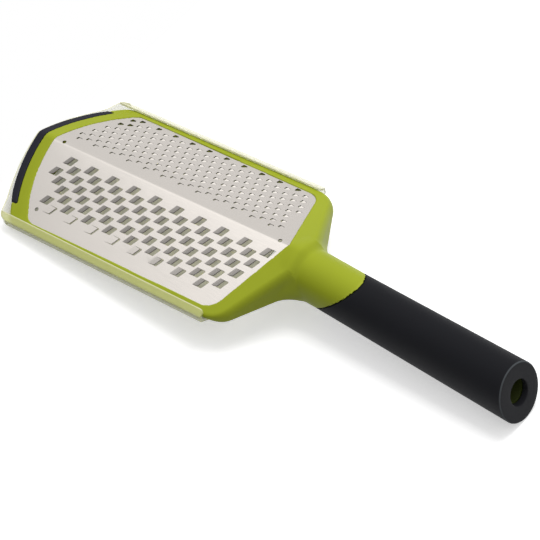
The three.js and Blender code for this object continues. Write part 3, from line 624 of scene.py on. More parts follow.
# Frame
def frame_fields(sizes):
    """Fields of the frame and of the tip strip."""
    plan_of = outline_field(frame_outline(), -20, 215)
    window_of = outline_field(window_outline(0), -20, 215)
    recess_of = outline_field(pad_outline(PAD_CLEARANCE, 20), -20, 215)
    pad_of = outline_field(pad_outline(0, 20), -20, 215)
    lip_low = LIP_RISE / math.cos(ROOF) - LIP_HALF * math.tan(ROOF) - LIP_EDGE
    fall = lip_low + FRAME_DEPTH
    inset = LIP_HALF - FOOT_HALF

    def slab(x, y, z, proud):
        plan = plan_of(x, y)
        front = 1 - eased(-13.5, -1.5, x - bowed(np.clip(y, -LIP_HALF, LIP_HALF), FRAME_FRONT_RADIUS))
        back = eased(125, 158, x)
        rise = LIP_RISE - FRONT_DROP * front + proud
        lip_round = mm(sizes.lip_round)
        round_top = lip_round + (mm(sizes.front_round) - lip_round) * front
        round_top = round_top + (mm(sizes.shoulder_round) - lip_round) * back
        past = np.clip(x - RIDGE_LENGTH - 3.5, 0, None)
        drop = 0.42 * np.where(past < 9, past * past / 18, past - 4.5)
        top = roof_field(y, z + drop, rise) * 0.94
        taper = inset * (1 - eased(141, 154, x))
        side = (plan * fall - (z - lip_low) * taper) / np.hypot(fall, taper)
        wall = both(plan, side, 0.5 + 3.5 * back)
        body = both(top, wall, round_top)
        under = np.maximum(-FRAME_DEPTH - z, (-FRAME_DEPTH + (TOE_X - x) * math.tan(TOE_ANGLE) - z)
                           * math.cos(TOE_ANGLE))
        return both(body, under, 0.8 + 0.4 * back)

    def neck(x, y, z):
        offset = (x - MITRE[0], z - MITRE[2])
        along = offset[0] * HANDLE_ALONG[0] + offset[1] * HANDLE_ALONG[2]
        up = offset[0] * HANDLE_UP[0] + offset[1] * HANDLE_UP[2]
        ramp = eased(-38, -14, along)
        low_root = np.maximum(FRAME_DEPTH + MITRE[2] - along * math.tan(HANDLE_PITCH), 1)
        down = low_root + (NECK_RADIUS - low_root) * ramp
        radius = np.hypot(y, up)
        shape = np.hypot(y / NECK_RADIUS, up / np.where(up < 0, down, NECK_RADIUS))
        bar = radius - radius / np.maximum(shape, 1e-6)
        return both(bar, -30 - along, 6.0)

    def frame_field(x, y, z):
        fillet = mm(sizes.neck_fillet) + NECK_FILLET_TOP + NECK_FILLET_LOW * (1 - eased(-19, -9, z))
        body = either(slab(x, y, z, 0.0), neck(x, y, z), fillet)
        body = both(body, -window_of(x, y), 0.5)
        body = both(body, -recess_of(x, y), 0.35)
        cut = (x - MITRE[0]) * MITRE_NORMAL[0] + (z - MITRE[2]) * MITRE_NORMAL[2] + MITRE_GAP / 2
        return both(body, cut, 0.4)

    def pad_field(x, y, z):
        return both(slab(x, y, z, 0.15), pad_of(x, y), 0.5)

    return frame_field, pad_field


def sampled(field, low, high, step):
    """Vertices and quads of a field within a box, symmetric in Y."""
    xs = np.arange(low[0], high[0] + step, step)
    half = np.arange(0.5 * step, high[1] + step, step)
    ys = np.concatenate([-half[::-1], half])
    zs = np.arange(low[2], high[2] + step, step)
    x, y, z = np.meshgrid(xs, half, zs, indexing="ij")
    upper = field(x, y, z)
    values = np.concatenate([upper[:, ::-1], upper], axis=1)
    return surface_net(values, (xs[0], ys[0], zs[0]), step)


class GRATER_OT_head_frame(bpy.types.Operator):
    """Moulded frame with its lips, shoulders and neck"""

    bl_idname = "grater.head_frame"
    bl_label = "Head frame"

    def execute(self, context):
        sizes = context.scene.grater_sizes
        colours = context.scene.grater_colours
        field, _ = frame_fields(sizes)
        points, faces = sampled(field, (-15, 0, -34), (212, 52.5, 3), mm(sizes.mesh_step))
        finish = moulded_plastic("satin_moulded_abs", tuple(colours.lime), linear_of("#99a515"),
                                 linear_of("#b4be3c"), 0.5, 0.4)
        piece = new_piece("frame_moulding", points, faces, finish, "head", "head_frame")
        thinned(piece, 0.4)
        smoothed(piece, field, 0.6)
        return {"FINISHED"}


class GRATER_OT_tip_pad(bpy.types.Operator):
    """Soft strip set into the front edge"""

    bl_idname = "grater.tip_pad"
    bl_label = "Tip strip"

    def execute(self, context):
        sizes = context.scene.grater_sizes
        colours = context.scene.grater_colours
        _, field = frame_fields(sizes)
        points, faces = sampled(field, (-14, 0, -22), (8, 43, 2), 0.6)
        finish = moulded_plastic("soft_moulded_strip", tuple(colours.strip), linear_of("#1f1f29"),
                                 linear_of("#3c3c48"), 0.62, 0.3)
        piece = new_piece("tip_strip", points, faces, finish, "head", "tip_pad")
        thinned(piece, 0.6)
        smoothed(piece, field, 0.5)
        return {"FINISHED"}


# Grip
def grip_profile():
    """Closed profile of the sleeve as (radius, distance along, plane it is measured from) rows.
    Plane 0 is the mitre and plane 1 the slanted end."""
    outer = NECK_RADIUS
    end = NECK_RADIUS + GRIP_FLARE
    rim = 0.6
    lip = 0.5
    quarter = [math.radians(a) for a in (0, 18, 36, 54, 72, 90)]
    rows = [(outer - GRIP_WALL, 0.0, 0), (outer - 0.5, 0.0, 0)]
    rows += [(outer - 0.5 + 0.5 * math.sin(a), 0.5 - 0.5 * math.cos(a), 0) for a in quarter]
    rows += [(outer + GRIP_FLARE * t, t, 2) for t in np.linspace(0.06, 0.94, 16)]
    rows += [(end - rim + rim * math.cos(a), -rim + rim * math.sin(a), 1) for a in quarter]
    rows += [(END_HOLE_RADIUS + lip + (end - rim - END_HOLE_RADIUS - lip) * t, 0.0, 1) for t in (0.66, 0.33)]
    rows += [(END_HOLE_RADIUS + lip - lip * math.sin(a), -lip + lip * math.cos(a), 1) for a in quarter]
    rows += [(END_HOLE_RADIUS, -GRIP_END_WALL + 0.3, 1), (END_HOLE_RADIUS + 0.3, -GRIP_END_WALL, 1)]
    rows += [(end - GRIP_WALL, -GRIP_END_WALL, 1)]
    rows += [(outer + GRIP_FLARE * t - GRIP_WALL, t, 2) for t in np.linspace(0.9, 0.1, 6)]
    return rows


class GRATER_OT_grip_sleeve(bpy.types.Operator):
    """Soft sleeve of the handle, with its slanted end and hole"""

    bl_idname = "grater.grip_sleeve"
    bl_label = "Grip sleeve"

    def execute(self, context):
        colours = context.scene.grater_colours
        sides = 96
        rows = grip_profile()
        mitre_slope = math.tan(MITRE_ANGLE)
        end_slope = math.tan(GRIP_END_TILT)
        gap = MITRE_GAP / 2 / math.cos(MITRE_ANGLE)
        points = []
        for side in range(sides):
            angle = 2 * math.pi * side / sides
            for radius, along, plane in rows:
                up = radius * math.cos(angle)
                start = up * mitre_slope + gap
                stop = HANDLE_LENGTH - up * end_slope
                if plane == 0:
                    at = start + along
                elif plane == 1:
                    at = stop + along
                else:
                    at = start + (stop - start) * along
                points.append(MITRE + HANDLE_ALONG * at + HANDLE_UP * up
                              + np.array([0, radius * math.sin(angle), 0]))
        count = len(rows)
        faces = []
        for side in range(sides):
            here = side * count
            there = (side + 1) % sides * count
            for n in range(count):
                m = (n + 1) % count
                faces.append((here + n, there + n, there + m, here + m))
        # the pale colour here is the painted highlight on the end face's rim
        finish = moulded_plastic("soft_touch_rubber", tuple(colours.grip), linear_of("#141519"),
                                 linear_of("#7c8286"), 0.66, 0.2)
        piece = new_piece("soft_grip", points, faces, finish, "handle", "grip_sleeve")
        shape = bmesh.new()
        shape.from_mesh(piece.data)
        bmesh.ops.recalc_face_normals(shape, faces=shape.faces)
        shape.to_mesh(piece.data)
        shape.free()
        piece.data.shade_smooth()
        piece.data.set_sharp_from_angle(angle=math.radians(40))
        # the end face's rounded outer rim is marked for the pale colour, a painted highlight where its bevel
        # catches the light
        lit_rim_rows = [abs(radius - NECK_RADIUS - GRIP_FLARE) < 0.7 and plane == 1 and -0.58 < along < -0.02
                    for radius, along, plane in rows]
        edge = piece.data.attributes.new("edge", "FLOAT", "POINT")
        edge.data.foreach_set("value", [float(r) for r in lit_rim_rows] * sides)
        return {"FINISHED"}


# Blade
def folded(points):
    """Rows of (x, v, h), along, across the flat sheet and above it, turned to the folded blade."""
    x, v, h = np.asarray(points, float).T
    run = np.abs(v)
    turn = np.minimum(run / RIDGE_RADIUS, ROOF)
    past = np.maximum(run - BEND, 0)
    radius = RIDGE_RADIUS - BLADE_SINK + h
    y = np.sign(v) * (radius * np.sin(turn) + past * math.cos(ROOF))
    z = radius * np.cos(turn) - past * math.sin(ROOF) + CROWN_CENTRE
    return np.stack([x, y, z], 1)


def unfolded(y):
    """Distance across the flat sheet for a place across the folded blade."""
    u = np.abs(y)
    flat = BEND + (u - BEND_HALF) / math.cos(ROOF)
    round_part = RIDGE_RADIUS * np.arcsin(np.clip(u / RIDGE_RADIUS, 0, 1))
    return np.sign(y) * np.where(u > BEND_HALF, flat, round_part)


def row_places(v, start, step, front_margin, back_margin):
    """Tooth centres of one row that keep their margins from the window's edges."""
    y = BEND_HALF + (abs(v) - BEND) * math.cos(ROOF)
    low = window_front(y) + front_margin
    high = window_back(y) - back_margin
    first = start + step * math.ceil((low - start) / step)
    return np.arange(first, high, step)


def coarse_tooth(x, v, lift, share):
    """Opening, hinge and tongue of a coarse tooth. The tongue's rows start on the hinge."""
    def corner(along, out):
        return np.array([x + along * COARSE_LENGTH / 2 - out * COARSE_SLANT / 2, -v - out * COARSE_HEIGHT / 2])

    low_hinge = corner(-1, 1)
    high_hinge = corner(-1, -1)
    low_tip = corner(2 * share - 1, 1)
    high_tip = corner(2 * share - 1, -1)
    narrow = (high_tip - low_tip) / np.linalg.norm(high_tip - low_tip) * COARSE_TAPER
    low_tip = low_tip + narrow
    high_tip = high_tip - narrow
    across = np.linspace(0, 1, 6)
    hinge = [low_hinge + (high_hinge - low_hinge) * t for t in across]
    rim = rounded_outline([(*low_hinge, 0), (*high_hinge, 0), (*corner(1, -1), 0.5), (*corner(1, 1), 0.5)], 3)[2:]
    rows = []
    for t in (0.2, 0.4, 0.6, 0.8, 1.0):
        low = low_hinge + (low_tip - low_hinge) * t
        high = high_hinge + (high_tip - high_hinge) * t
        height = lift * (0.85 * t + 0.15 * t * t)
        rows.append([(*(low + (high - low) * s), height) for s in across])
    return hinge, [tuple(p) for p in rim], rows


def fine_tooth(x, v, lift):
    """Opening, hinge and tongue of a fine tooth, whose tongue narrows to a point. With no lift, the tooth is
    a plain opening."""
    tip = np.array([x - FINE_LENGTH / 2, v + FINE_HEIGHT / 2])
    far = np.array([x + FINE_LENGTH / 2, v + FINE_HEIGHT / 2 - FINE_LEAN])
    near = np.array([x - FINE_LENGTH / 2, v - FINE_HEIGHT / 2])
    point = (far + near) / 2 + (tip - (far + near) / 2) * FINE_TONGUE
    across = np.linspace(0, 1, 4)
    hinge = [far + (near - far) * t for t in across]
    slit = FINE_SLIT if lift else FINE_PLAIN_SLIT
    side = FINE_SIDE_SLIT if lift else FINE_PLAIN_SLIT
    rim = [tuple(p) for p in rounded_outline([
        (*near, 0), (near[0] - slit, near[1] + 0.4, 0), (tip[0] - slit, tip[1] + side, 0.3),
        (far[0] - 0.4, far[1] + side, 0), (*far, 0)], 3)[1:-1]]
    rows = []
    for t in (0.35, 0.7, 0.94) if lift else ():
        height = lift * (t + 0.12 * math.sin(math.pi * t))
        low = far + (point - far) * t
        high = near + (point - near) * t
        rows.append([(*(low + (high - low) * s), height) for s in across])
    return hinge, rim, rows


def blade_teeth(sizes):
    """Every tooth of both slopes. The coarse row by the lip starts flush. The fine rows flatten out towards
    the ridge and are plain openings along the lip."""
    last = unfolded(WINDOW_HALF_WIDTH)
    for row in range(COARSE_ROWS):
        v = COARSE_FIRST_ROW + row * COARSE_ROW_STEP
        start = COARSE_START + row * COARSE_ROW_SHIFT
        if v <= last - COARSE_HEIGHT / 2:
            for x in row_places(v, start, COARSE_PITCH, COARSE_FRONT_MARGIN, COARSE_BACK_MARGIN):
                formed = 1.0 if row < COARSE_ROWS - 1 else float(np.clip((x - FLUSH_END) / FLUSH_EASE, 0.04, 1))
                share = COARSE_FLUSH - (COARSE_FLUSH - COARSE_TONGUE) * formed
                yield coarse_tooth(x, v, mm(sizes.coarse_lift) * formed, share)
    for row in range(FINE_ROWS):
        v = FINE_LAST_ROW - row * FINE_ROW_STEP
        start = FINE_START - row * FINE_ROW_SHIFT
        if BEND + FINE_HEIGHT <= v <= last - FINE_HEIGHT / 2:
            places = row_places(v, start, FINE_PITCH, FINE_FRONT_MARGIN, FINE_BACK_MARGIN)
            formed = float(np.clip((FINE_ROWS - row) / 5, 0.25, 1))
            for n, x in enumerate(places):
                plain = row == 0 or (n == 0 and row in FINE_PLAIN_STARTS)
                yield fine_tooth(x, v, 0.0 if plain else mm(sizes.fine_lift) * formed)


class GRATER_OT_grating_blade(bpy.types.Operator):
    """Folded steel sheet with coarse and fine teeth"""

    bl_idname = "grater.grating_blade"
    bl_label = "Grating blade"

    def execute(self, context):
        sizes = context.scene.grater_sizes
        colours = context.scene.grater_colours
        outline = window_outline(1.2)
        flat = [(x, float(unfolded(y))) for x, y in outline]
        points = []
        edges = []
        holes = []

        def add_loop(loop):
            first = len(points)
            points.extend(Vector(p) for p in loop)
            edges.extend((first + n, first + (n + 1) % len(loop)) for n in range(len(loop)))
            return first

        add_loop(flat)
        for share in np.linspace(-1, 1, 9):
            first = len(points)
            y = RIDGE_RADIUS * math.sin(share * ROOF)
            ends = (window_front(y, 1.2) + 0.02, window_back(y, 1.2) - 0.02)
            points.extend(Vector((x, share * BEND)) for x in np.linspace(ends[0], ends[1], 12))
            edges.extend((first + n, first + n + 1) for n in range(11))
        tongues = []
        for hinge, rim, rows in blade_teeth(sizes):
            loop = [tuple(p) for p in hinge] + list(rim)
            first = add_loop(loop)
            holes.append(loop)
            tongues.append((first, len(hinge), rows))
        corner_y = WINDOW_HALF_WIDTH - PIP_CORNER_INSET
        pips = [(PIP_INSET, 0.0), (RIDGE_LENGTH - PIP_INSET, 0.0),
                (window_front(corner_y) + PIP_CORNER_INSET, -float(unfolded(corner_y)))]
        turns = np.linspace(0, 2 * math.pi, 16, endpoint=False)
        for x, v in pips:
            ring = [(x + PIP_RADIUS * math.cos(a), v + PIP_RADIUS * math.sin(a)) for a in turns]
            add_loop(ring)
            holes.append(ring)
        spots, _, faces, origin, _, _ = delaunay_2d_cdt(points, edges, [], 1, 1e-5)
        spots = np.array([tuple(p) for p in spots])
        middle = np.array([spots[list(f)].mean(0) for f in faces])
        keep = np.ones(len(faces), bool)
        for loop in holes:
            loop = np.array(loop)
            low = loop.min(0)
            high = loop.max(0)
            near = np.flatnonzero(np.all((middle > low) & (middle < high), axis=1) & keep)
            inside = np.zeros(len(near), bool)
            for (ax, ay), (bx, by) in zip(loop, np.roll(loop, -1, axis=0)):
                if ay != by:
                    y = middle[near, 1]
                    inside ^= ((ay > y) != (by > y)) & (middle[near, 0] < ax + (y - ay) * (bx - ax) / (by - ay))
            keep[near[inside]] = False
        where = {}
        for number, sources in enumerate(origin):
            for source in sources:
                where[source] = number
        solid = [tuple(f) for f, k in zip(faces, keep) if k]
        sheet = [(*p, 0.0) for p in spots]
        ground = []
        for first, width, rows in tongues:
            before = [where[first + n] for n in range(width)]
            for row in rows:
                after = list(range(len(sheet), len(sheet) + width))
                sheet.extend(row)
                solid.extend((before[n], after[n], after[n + 1], before[n + 1]) for n in range(width - 1))
                before = after
            if rows:
                ground.extend(before)
        finish = brushed_steel(tuple(colours.steel))
        piece = new_piece("blade_sheet", folded(sheet), solid, finish, "head", "grating_blade")
        # a punched edge is torn and dull, and its colour is also darkened as painted shade at each opening's edge,
        # so it draws a dark line round each opening
        piece.data.materials.append(turned_metal("punched_edge_dull_and_painted_shade", linear_of("#5f5b52"), 0.55))
        share = piece.vertex_groups.new(name="sheet share")
        share.add(range(len(sheet)), 1.0, "REPLACE")
        share.add(ground, TOOTH_EDGE, "REPLACE")
        shape = bmesh.new()
        shape.from_mesh(piece.data)
        bmesh.ops.remove_doubles(shape, verts=shape.verts, dist=1e-7)
        loose = [v for v in shape.verts if not v.link_faces]
        bmesh.ops.delete(shape, geom=loose, context="VERTS")
        bmesh.ops.recalc_face_normals(shape, faces=shape.faces)
        if sum(f.normal.z * f.calc_area() for f in shape.faces) < 0:
            bmesh.ops.reverse_faces(shape, faces=shape.faces)
        shape.to_mesh(piece.data)
        shape.free()
        sheet_wall = piece.modifiers.new("sheet", "SOLIDIFY")
        sheet_wall.thickness = BLADE_THICKNESS * 0.001
        sheet_wall.offset = -1
        sheet_wall.vertex_group = share.name
        sheet_wall.material_offset_rim = 1
        mesh = applied(piece)
        mesh.shade_smooth()
        mesh.set_sharp_from_angle(angle=math.radians(8))
        return {"FINISHED"}


def brushed_steel(colour):
    """Rolled stainless sheet, brushed along the ridge: long fine streaks and a soft warm drift."""
    material, tree, output, place = new_material("brushed_stainless")
    stretch = add_node(tree, "ShaderNodeMapping", {"Scale": (0.03, 1.0, 1.0)}, {"Vector": place})
    # brush lines are about 0.05 mm apart, drawn at 0.6 mm so that they show
    streak = add_node(tree, "ShaderNodeTexNoise", {"Scale": per_metre(0.6), "Detail": 3.0},
                      {"Vector": stretch.outputs["Vector"]})
    drift = add_node(tree, "ShaderNodeTexNoise", {"Scale": per_metre(35), "Detail": 2.0}, {"Vector": place})
    tone = add_node(tree, "ShaderNodeMix", {"data_type": "RGBA"}, {"Factor": drift.outputs["Fac"]})
    tone.inputs["A"].default_value = (*colour, 1)
    tone.inputs["B"].default_value = (*(c * 0.94 for c in colour), 1)
    gloss = add_node(tree, "ShaderNodeMapRange", {"To Min": 0.14, "To Max": 0.26},
                     {"Value": streak.outputs["Fac"]})
    bump = add_node(tree, "ShaderNodeBump", {"Strength": 0.03, "Distance": 0.0001},
                    {"Height": streak.outputs["Fac"]})
    shader = add_node(tree, "ShaderNodeBsdfPrincipled", {"Metallic": 1.0},
                      {"Roughness": gloss.outputs["Result"], "Normal": bump.outputs["Normal"]})
    tree.links.new(tone.outputs["Result"], shader.inputs["Base Color"])
    tree.links.new(shader.outputs["BSDF"], output.inputs["Surface"])
    return material


# Guard
def roof_height(y, rise):
    """Height of the roof raised by rise, with its crown rounded."""
    u = np.abs(y)
    radius = RIDGE_RADIUS + rise
    round_part = np.sqrt(np.maximum(radius * radius - u * u, 0)) + CROWN_CENTRE
    return np.where(u < radius * math.sin(ROOF), round_part, rise / math.cos(ROOF) - u * math.tan(ROOF))


def clear_plastic(name, colour, through, roughness, cover):
    """Clear injection-moulded styrene: a glossy skin with faint haze and flow lines. The share not covered is seen
    straight through, as in a wall too thin to bend the light."""
    material, tree, output, place = new_material(name)
    flow = add_node(tree, "ShaderNodeTexNoise", {"Scale": per_metre(18), "Detail": 2.0}, {"Vector": place})
    gloss = add_node(tree, "ShaderNodeMapRange", {"To Min": roughness, "To Max": roughness + 0.05},
                     {"Value": flow.outputs["Fac"]})
    tone = add_node(tree, "ShaderNodeMix", {"data_type": "RGBA"}, {"Factor": flow.outputs["Fac"]})
    tone.inputs["A"].default_value = (*colour, 1)
    tone.inputs["B"].default_value = (*(c * 0.97 for c in colour), 1)
    bump = add_node(tree, "ShaderNodeBump", {"Strength": 0.02, "Distance": 0.0002},
                    {"Height": flow.outputs["Fac"]})
    shader = add_node(tree, "ShaderNodeBsdfPrincipled", {"IOR": 1.5, "Transmission Weight": through,
                                                         "Alpha": cover},
                      {"Roughness": gloss.outputs["Result"], "Normal": bump.outputs["Normal"]})
    tree.links.new(tone.outputs["Result"], shader.inputs["Base Color"])
    tree.links.new(shader.outputs["BSDF"], output.inputs["Surface"])
    return material


class GRATER_OT_blade_guard(bpy.types.Operator):
    """Clear tray that slides over the frame's lips"""

    bl_idname = "grater.blade_guard"
    bl_label = "Blade guard"

    def execute(self, context):
        colours = context.scene.grater_colours
        outer = GUARD_CLEARANCE + GUARD_WALL
        half = LIP_HALF + outer - 0.06
        tip = FRONT_TIP - GUARD_FRONT_GAP - GUARD_FRONT_WALL
        bow = FRAME_FRONT_RADIUS + GUARD_FLARE
        corner = FRAME_FRONT_CORNER - GUARD_CORNER_STEP
        back = tip + GUARD_LENGTH
        front = tip + bowed(half, bow)
        plan = rounded_outline([(back, half, 0), (front, half, corner),
                                *bowed_edge(tip, bow, half - 1.5 * corner, 30),
                                (front, -half, corner), (back, -half, 0)], 10)
        arc = plan[1:-1]
        upper = arc[arc[:, 1] >= -1e-6][::-1]

        def front_x(y):
            return np.interp(abs(y), upper[:, 1], upper[:, 0])

        lip_low = LIP_RISE / math.cos(ROOF) - LIP_HALF * math.tan(ROOF) - LIP_EDGE
        fall = lip_low + FRAME_DEPTH
        inset = LIP_HALF - FOOT_HALF
        slant = math.hypot(fall, inset)
        floor = -FRAME_DEPTH - outer
        edge_y = LIP_HALF + outer * fall / slant
        edge_z = lip_low - outer * inset / slant
        foot = edge_y - (edge_z - floor) * inset / fall
        rise = LIP_RISE + outer

        def floor_z(x):
            toe = -FRAME_DEPTH - outer / math.cos(TOE_ANGLE) + (TOE_X - x) * math.tan(TOE_ANGLE)
            return max(floor, toe)

        def rows_across(width, shares):
            """Rows (y, height) from the middle out and up to the flange's edge. The floor's height is None."""
            rows = [(y, None) for y in np.linspace(0, foot, GUARD_FLOOR_ROWS)]
            steps = np.linspace(foot, half, GUARD_WALL_ROWS - GUARD_FLOOR_ROWS + 1)[1:]
            rows += [(y, floor + (y - foot) * fall / inset) for y in steps]
            rows += [(half, float(roof_height(half, rise)))]
            for share in shares:
                y = half - width + share * width
                rows.append((y, float(roof_height(y, rise))))
            return rows

        flanges = {-1: (GUARD_FLANGE, (0.78, 0.57, 0.43, 0.3, 0.21, 0.12, 0.0)),
                   1: (GUARD_FAR_FLANGE, (0.7, 0.45, 0.2, 0.0))}
        stations = np.concatenate([[0.0, 0.012, 0.03], np.linspace(0.06, 1, 24)])
        points = []
        faces = []
        finishes = []
        grid = {}
        for side, (width, shares) in flanges.items():
            rows = rows_across(width, shares)
            corner = min(GUARD_END_CORNER, 0.9 * width)
            for j, (y, height) in enumerate(rows):
                start = front_x(y)
                stop = back
                if j > GUARD_WALL_ROWS:
                    short = max(corner - (y - half + width), 0)
                    stop = back - corner + math.sqrt(max(corner ** 2 - short ** 2, 0))
                for i, t in enumerate(stations):
                    x = start + (stop - start) * t
                    z = floor_z(x) if height is None else max(height, floor_z(x))
                    grid[side, j, i] = len(points)
                    points.append((x, side * y, z))
            for j in range(len(rows) - 1):
                finish = PAINTED_LIME_LIGHT if side < 0 else RAIL
                if j < GUARD_FLOOR_ROWS - 1 or (side > 0 and j >= GUARD_WALL_ROWS):
                    finish = TRAY
                if j == len(rows) - 2:
                    finish = GLOWING_RIM
                for i in range(len(stations) - 1):
                    faces.append((grid[side, j, i], grid[side, j, i + 1],
                                  grid[side, j + 1, i + 1], grid[side, j + 1, i]))
                    finishes.append(finish)
        wall_rows = 6
        for side, (width, shares) in flanges.items():
            rows = rows_across(width, shares)
            columns = []
            for j in range(GUARD_WALL_ROWS):
                y = rows[j][0]
                x = front_x(y)
                base = points[grid[side, j, 0]][2]
                climb = eased(half - width - 9, half - width + 1.5, y)
                low_rise = LIP_RISE - GUARD_FRONT_DROP
                top = float(roof_height(y, low_rise + (rise - low_rise) * climb))
                column = [grid[side, j, 0]]
                for n in range(1, wall_rows + 1):
                    column.append(len(points))
                    points.append((x, side * y, base + (top - base) * n / wall_rows))
                columns.append(column)
            for left, right in zip(columns, columns[1:]):
                for n in range(wall_rows):
                    faces.append((left[n], right[n], right[n + 1], left[n + 1]))
        front_wall = [n for n, (x, y, z) in enumerate(points) if x < front_x(y) + 1e-6]
        # the tray is the thicker wall and hazier. Light carried inside a clear wall comes out at its edges; that
        # glow is painted in, as edges that are more opaque and whiter than its faces
        rail = clear_plastic("clear_moulded_styrene", tuple(colours.clear), 0.08, 0.02, 0.3)
        edge = clear_plastic("clear_styrene_painted_glow_edge", tuple(colours.clear), 0.12, 0.2, 0.85)
        tray = clear_plastic("clear_styrene_tray", tuple(colours.clear), 0.3, 0.02, 0.5)
        piece = new_piece("clear_guard", points, faces, rail, "guard", "blade_guard")
        # where the rail lies over the lip, the lime light that the lip throws up through it is painted into the
        # rail's haze
        lime_light_rail = clear_plastic("clear_styrene_painted_lime_light", linear_of("#e6e99a"), 0.05, 0.02, 0.5)
        for finish in (edge, tray, edge, lime_light_rail):
            piece.data.materials.append(finish)
        finishes += [RAIL] * (len(faces) - len(finishes))
        piece.data.polygons.foreach_set("material_index", finishes)
        share = piece.vertex_groups.new(name="wall share")
        share.add(range(len(points)), 1.0, "REPLACE")
        share.add(front_wall, GUARD_FRONT_WALL / GUARD_WALL, "REPLACE")
        shape = bmesh.new()
        shape.from_mesh(piece.data)
        bmesh.ops.remove_doubles(shape, verts=shape.verts, dist=2e-6)
        bmesh.ops.dissolve_degenerate(shape, edges=shape.edges, dist=1e-6)
        bmesh.ops.recalc_face_normals(shape, faces=shape.faces)
        lowest = min(shape.faces, key=lambda f: f.calc_center_median().z)
        if lowest.normal.z > 0:
            bmesh.ops.reverse_faces(shape, faces=shape.faces)
        shape.to_mesh(piece.data)
        shape.free()
        wall = piece.modifiers.new("wall", "SOLIDIFY")
        wall.thickness = GUARD_WALL * 0.001
        wall.offset = -1
        wall.use_even_offset = True
        wall.vertex_group = share.name
        wall.material_offset_rim = GLOWING_EDGE
        soften = piece.modifiers.new("soft edges", "BEVEL")
        soften.width = 0.00035
        soften.segments = 2
        soften.limit_method = "ANGLE"
        soften.angle_limit = math.radians(35)
        mesh = applied(piece)
        mesh.shade_smooth()
        mesh.set_sharp_from_angle(angle=math.radians(40))
        return {"FINISHED"}


# Inner pieces
class GRATER_OT_inner_pieces(bpy.types.Operator):
    """Finishes of the core and of the twist joint's pieces, which keep their CAD shapes"""

    bl_idname = "grater.inner_pieces"
    bl_label = "Inner pieces"

    def execute(self, context):
        # the core is the frame's lime plastic, painted dark olive as painted shade for the deep end hole where it
        # shows
        core_in_painted_shade = moulded_plastic("core_abs_painted_shade", linear_of("#3b4414"), linear_of("#323a10"),
                               linear_of("#4d5620"), 0.6, 0.25)
        brass = turned_metal("turned_brass", linear_of("#c8a552"), 0.3)
        steel = turned_metal("drawn_spring_steel", linear_of("#b9b8b5"), 0.32)
        finishes = {"handle_core": core_in_painted_shade, "pivot_insert": brass}
        for name in ("handle_core", "pivot_insert", "pivot_screw", "pivot_washer", "pivot_spring",
                     "detent_ball_upper", "detent_ball_lower", "detent_spring_upper", "detent_spring_lower",
                     "stop_pin"):
            mesh = frame["nodes"][name].data
            mesh.materials.clear()
            mesh.materials.append(finishes.get(name, steel))
        return {"FINISHED"}


def turned_metal(name, colour, roughness):
    """Turned or drawn metal: fine tool marks and a slight drift in tone."""
    material, tree, output, place = new_material(name)
    # tool marks are about 0.1 mm apart, drawn at 0.4 mm so that they show
    marks = add_node(tree, "ShaderNodeTexNoise", {"Scale": per_metre(0.4), "Detail": 2.0}, {"Vector": place})
    tone = add_node(tree, "ShaderNodeMix", {"data_type": "RGBA"}, {"Factor": marks.outputs["Fac"]})
    tone.inputs["A"].default_value = (*colour, 1)
    tone.inputs["B"].default_value = (*(c * 0.85 for c in colour), 1)
    gloss = add_node(tree, "ShaderNodeMapRange", {"To Min": roughness - 0.06, "To Max": roughness + 0.08},
                     {"Value": marks.outputs["Fac"]})
    shader = add_node(tree, "ShaderNodeBsdfPrincipled", {"Metallic": 1.0}, {"Roughness": gloss.outputs["Result"]})
    tree.links.new(tone.outputs["Result"], shader.inputs["Base Color"])
    tree.links.new(shader.outputs["BSDF"], output.inputs["Surface"])
    return material


# Stage
def add_light(name, place, aim, size, power):
    """A square soft light."""
    data = bpy.data.lights.new(name, "AREA")
    data.shape = "SQUARE"
    data.size = size
    data.energy = power
    lamp = bpy.data.objects.new(name, data)
    bpy.context.scene.collection.objects.link(lamp)
    lamp.location = place
    lamp.visible_glossy = False
    lamp.rotation_euler = (Vector(aim) - Vector(place)).to_track_quat("-Z", "Y").to_euler()
    return lamp


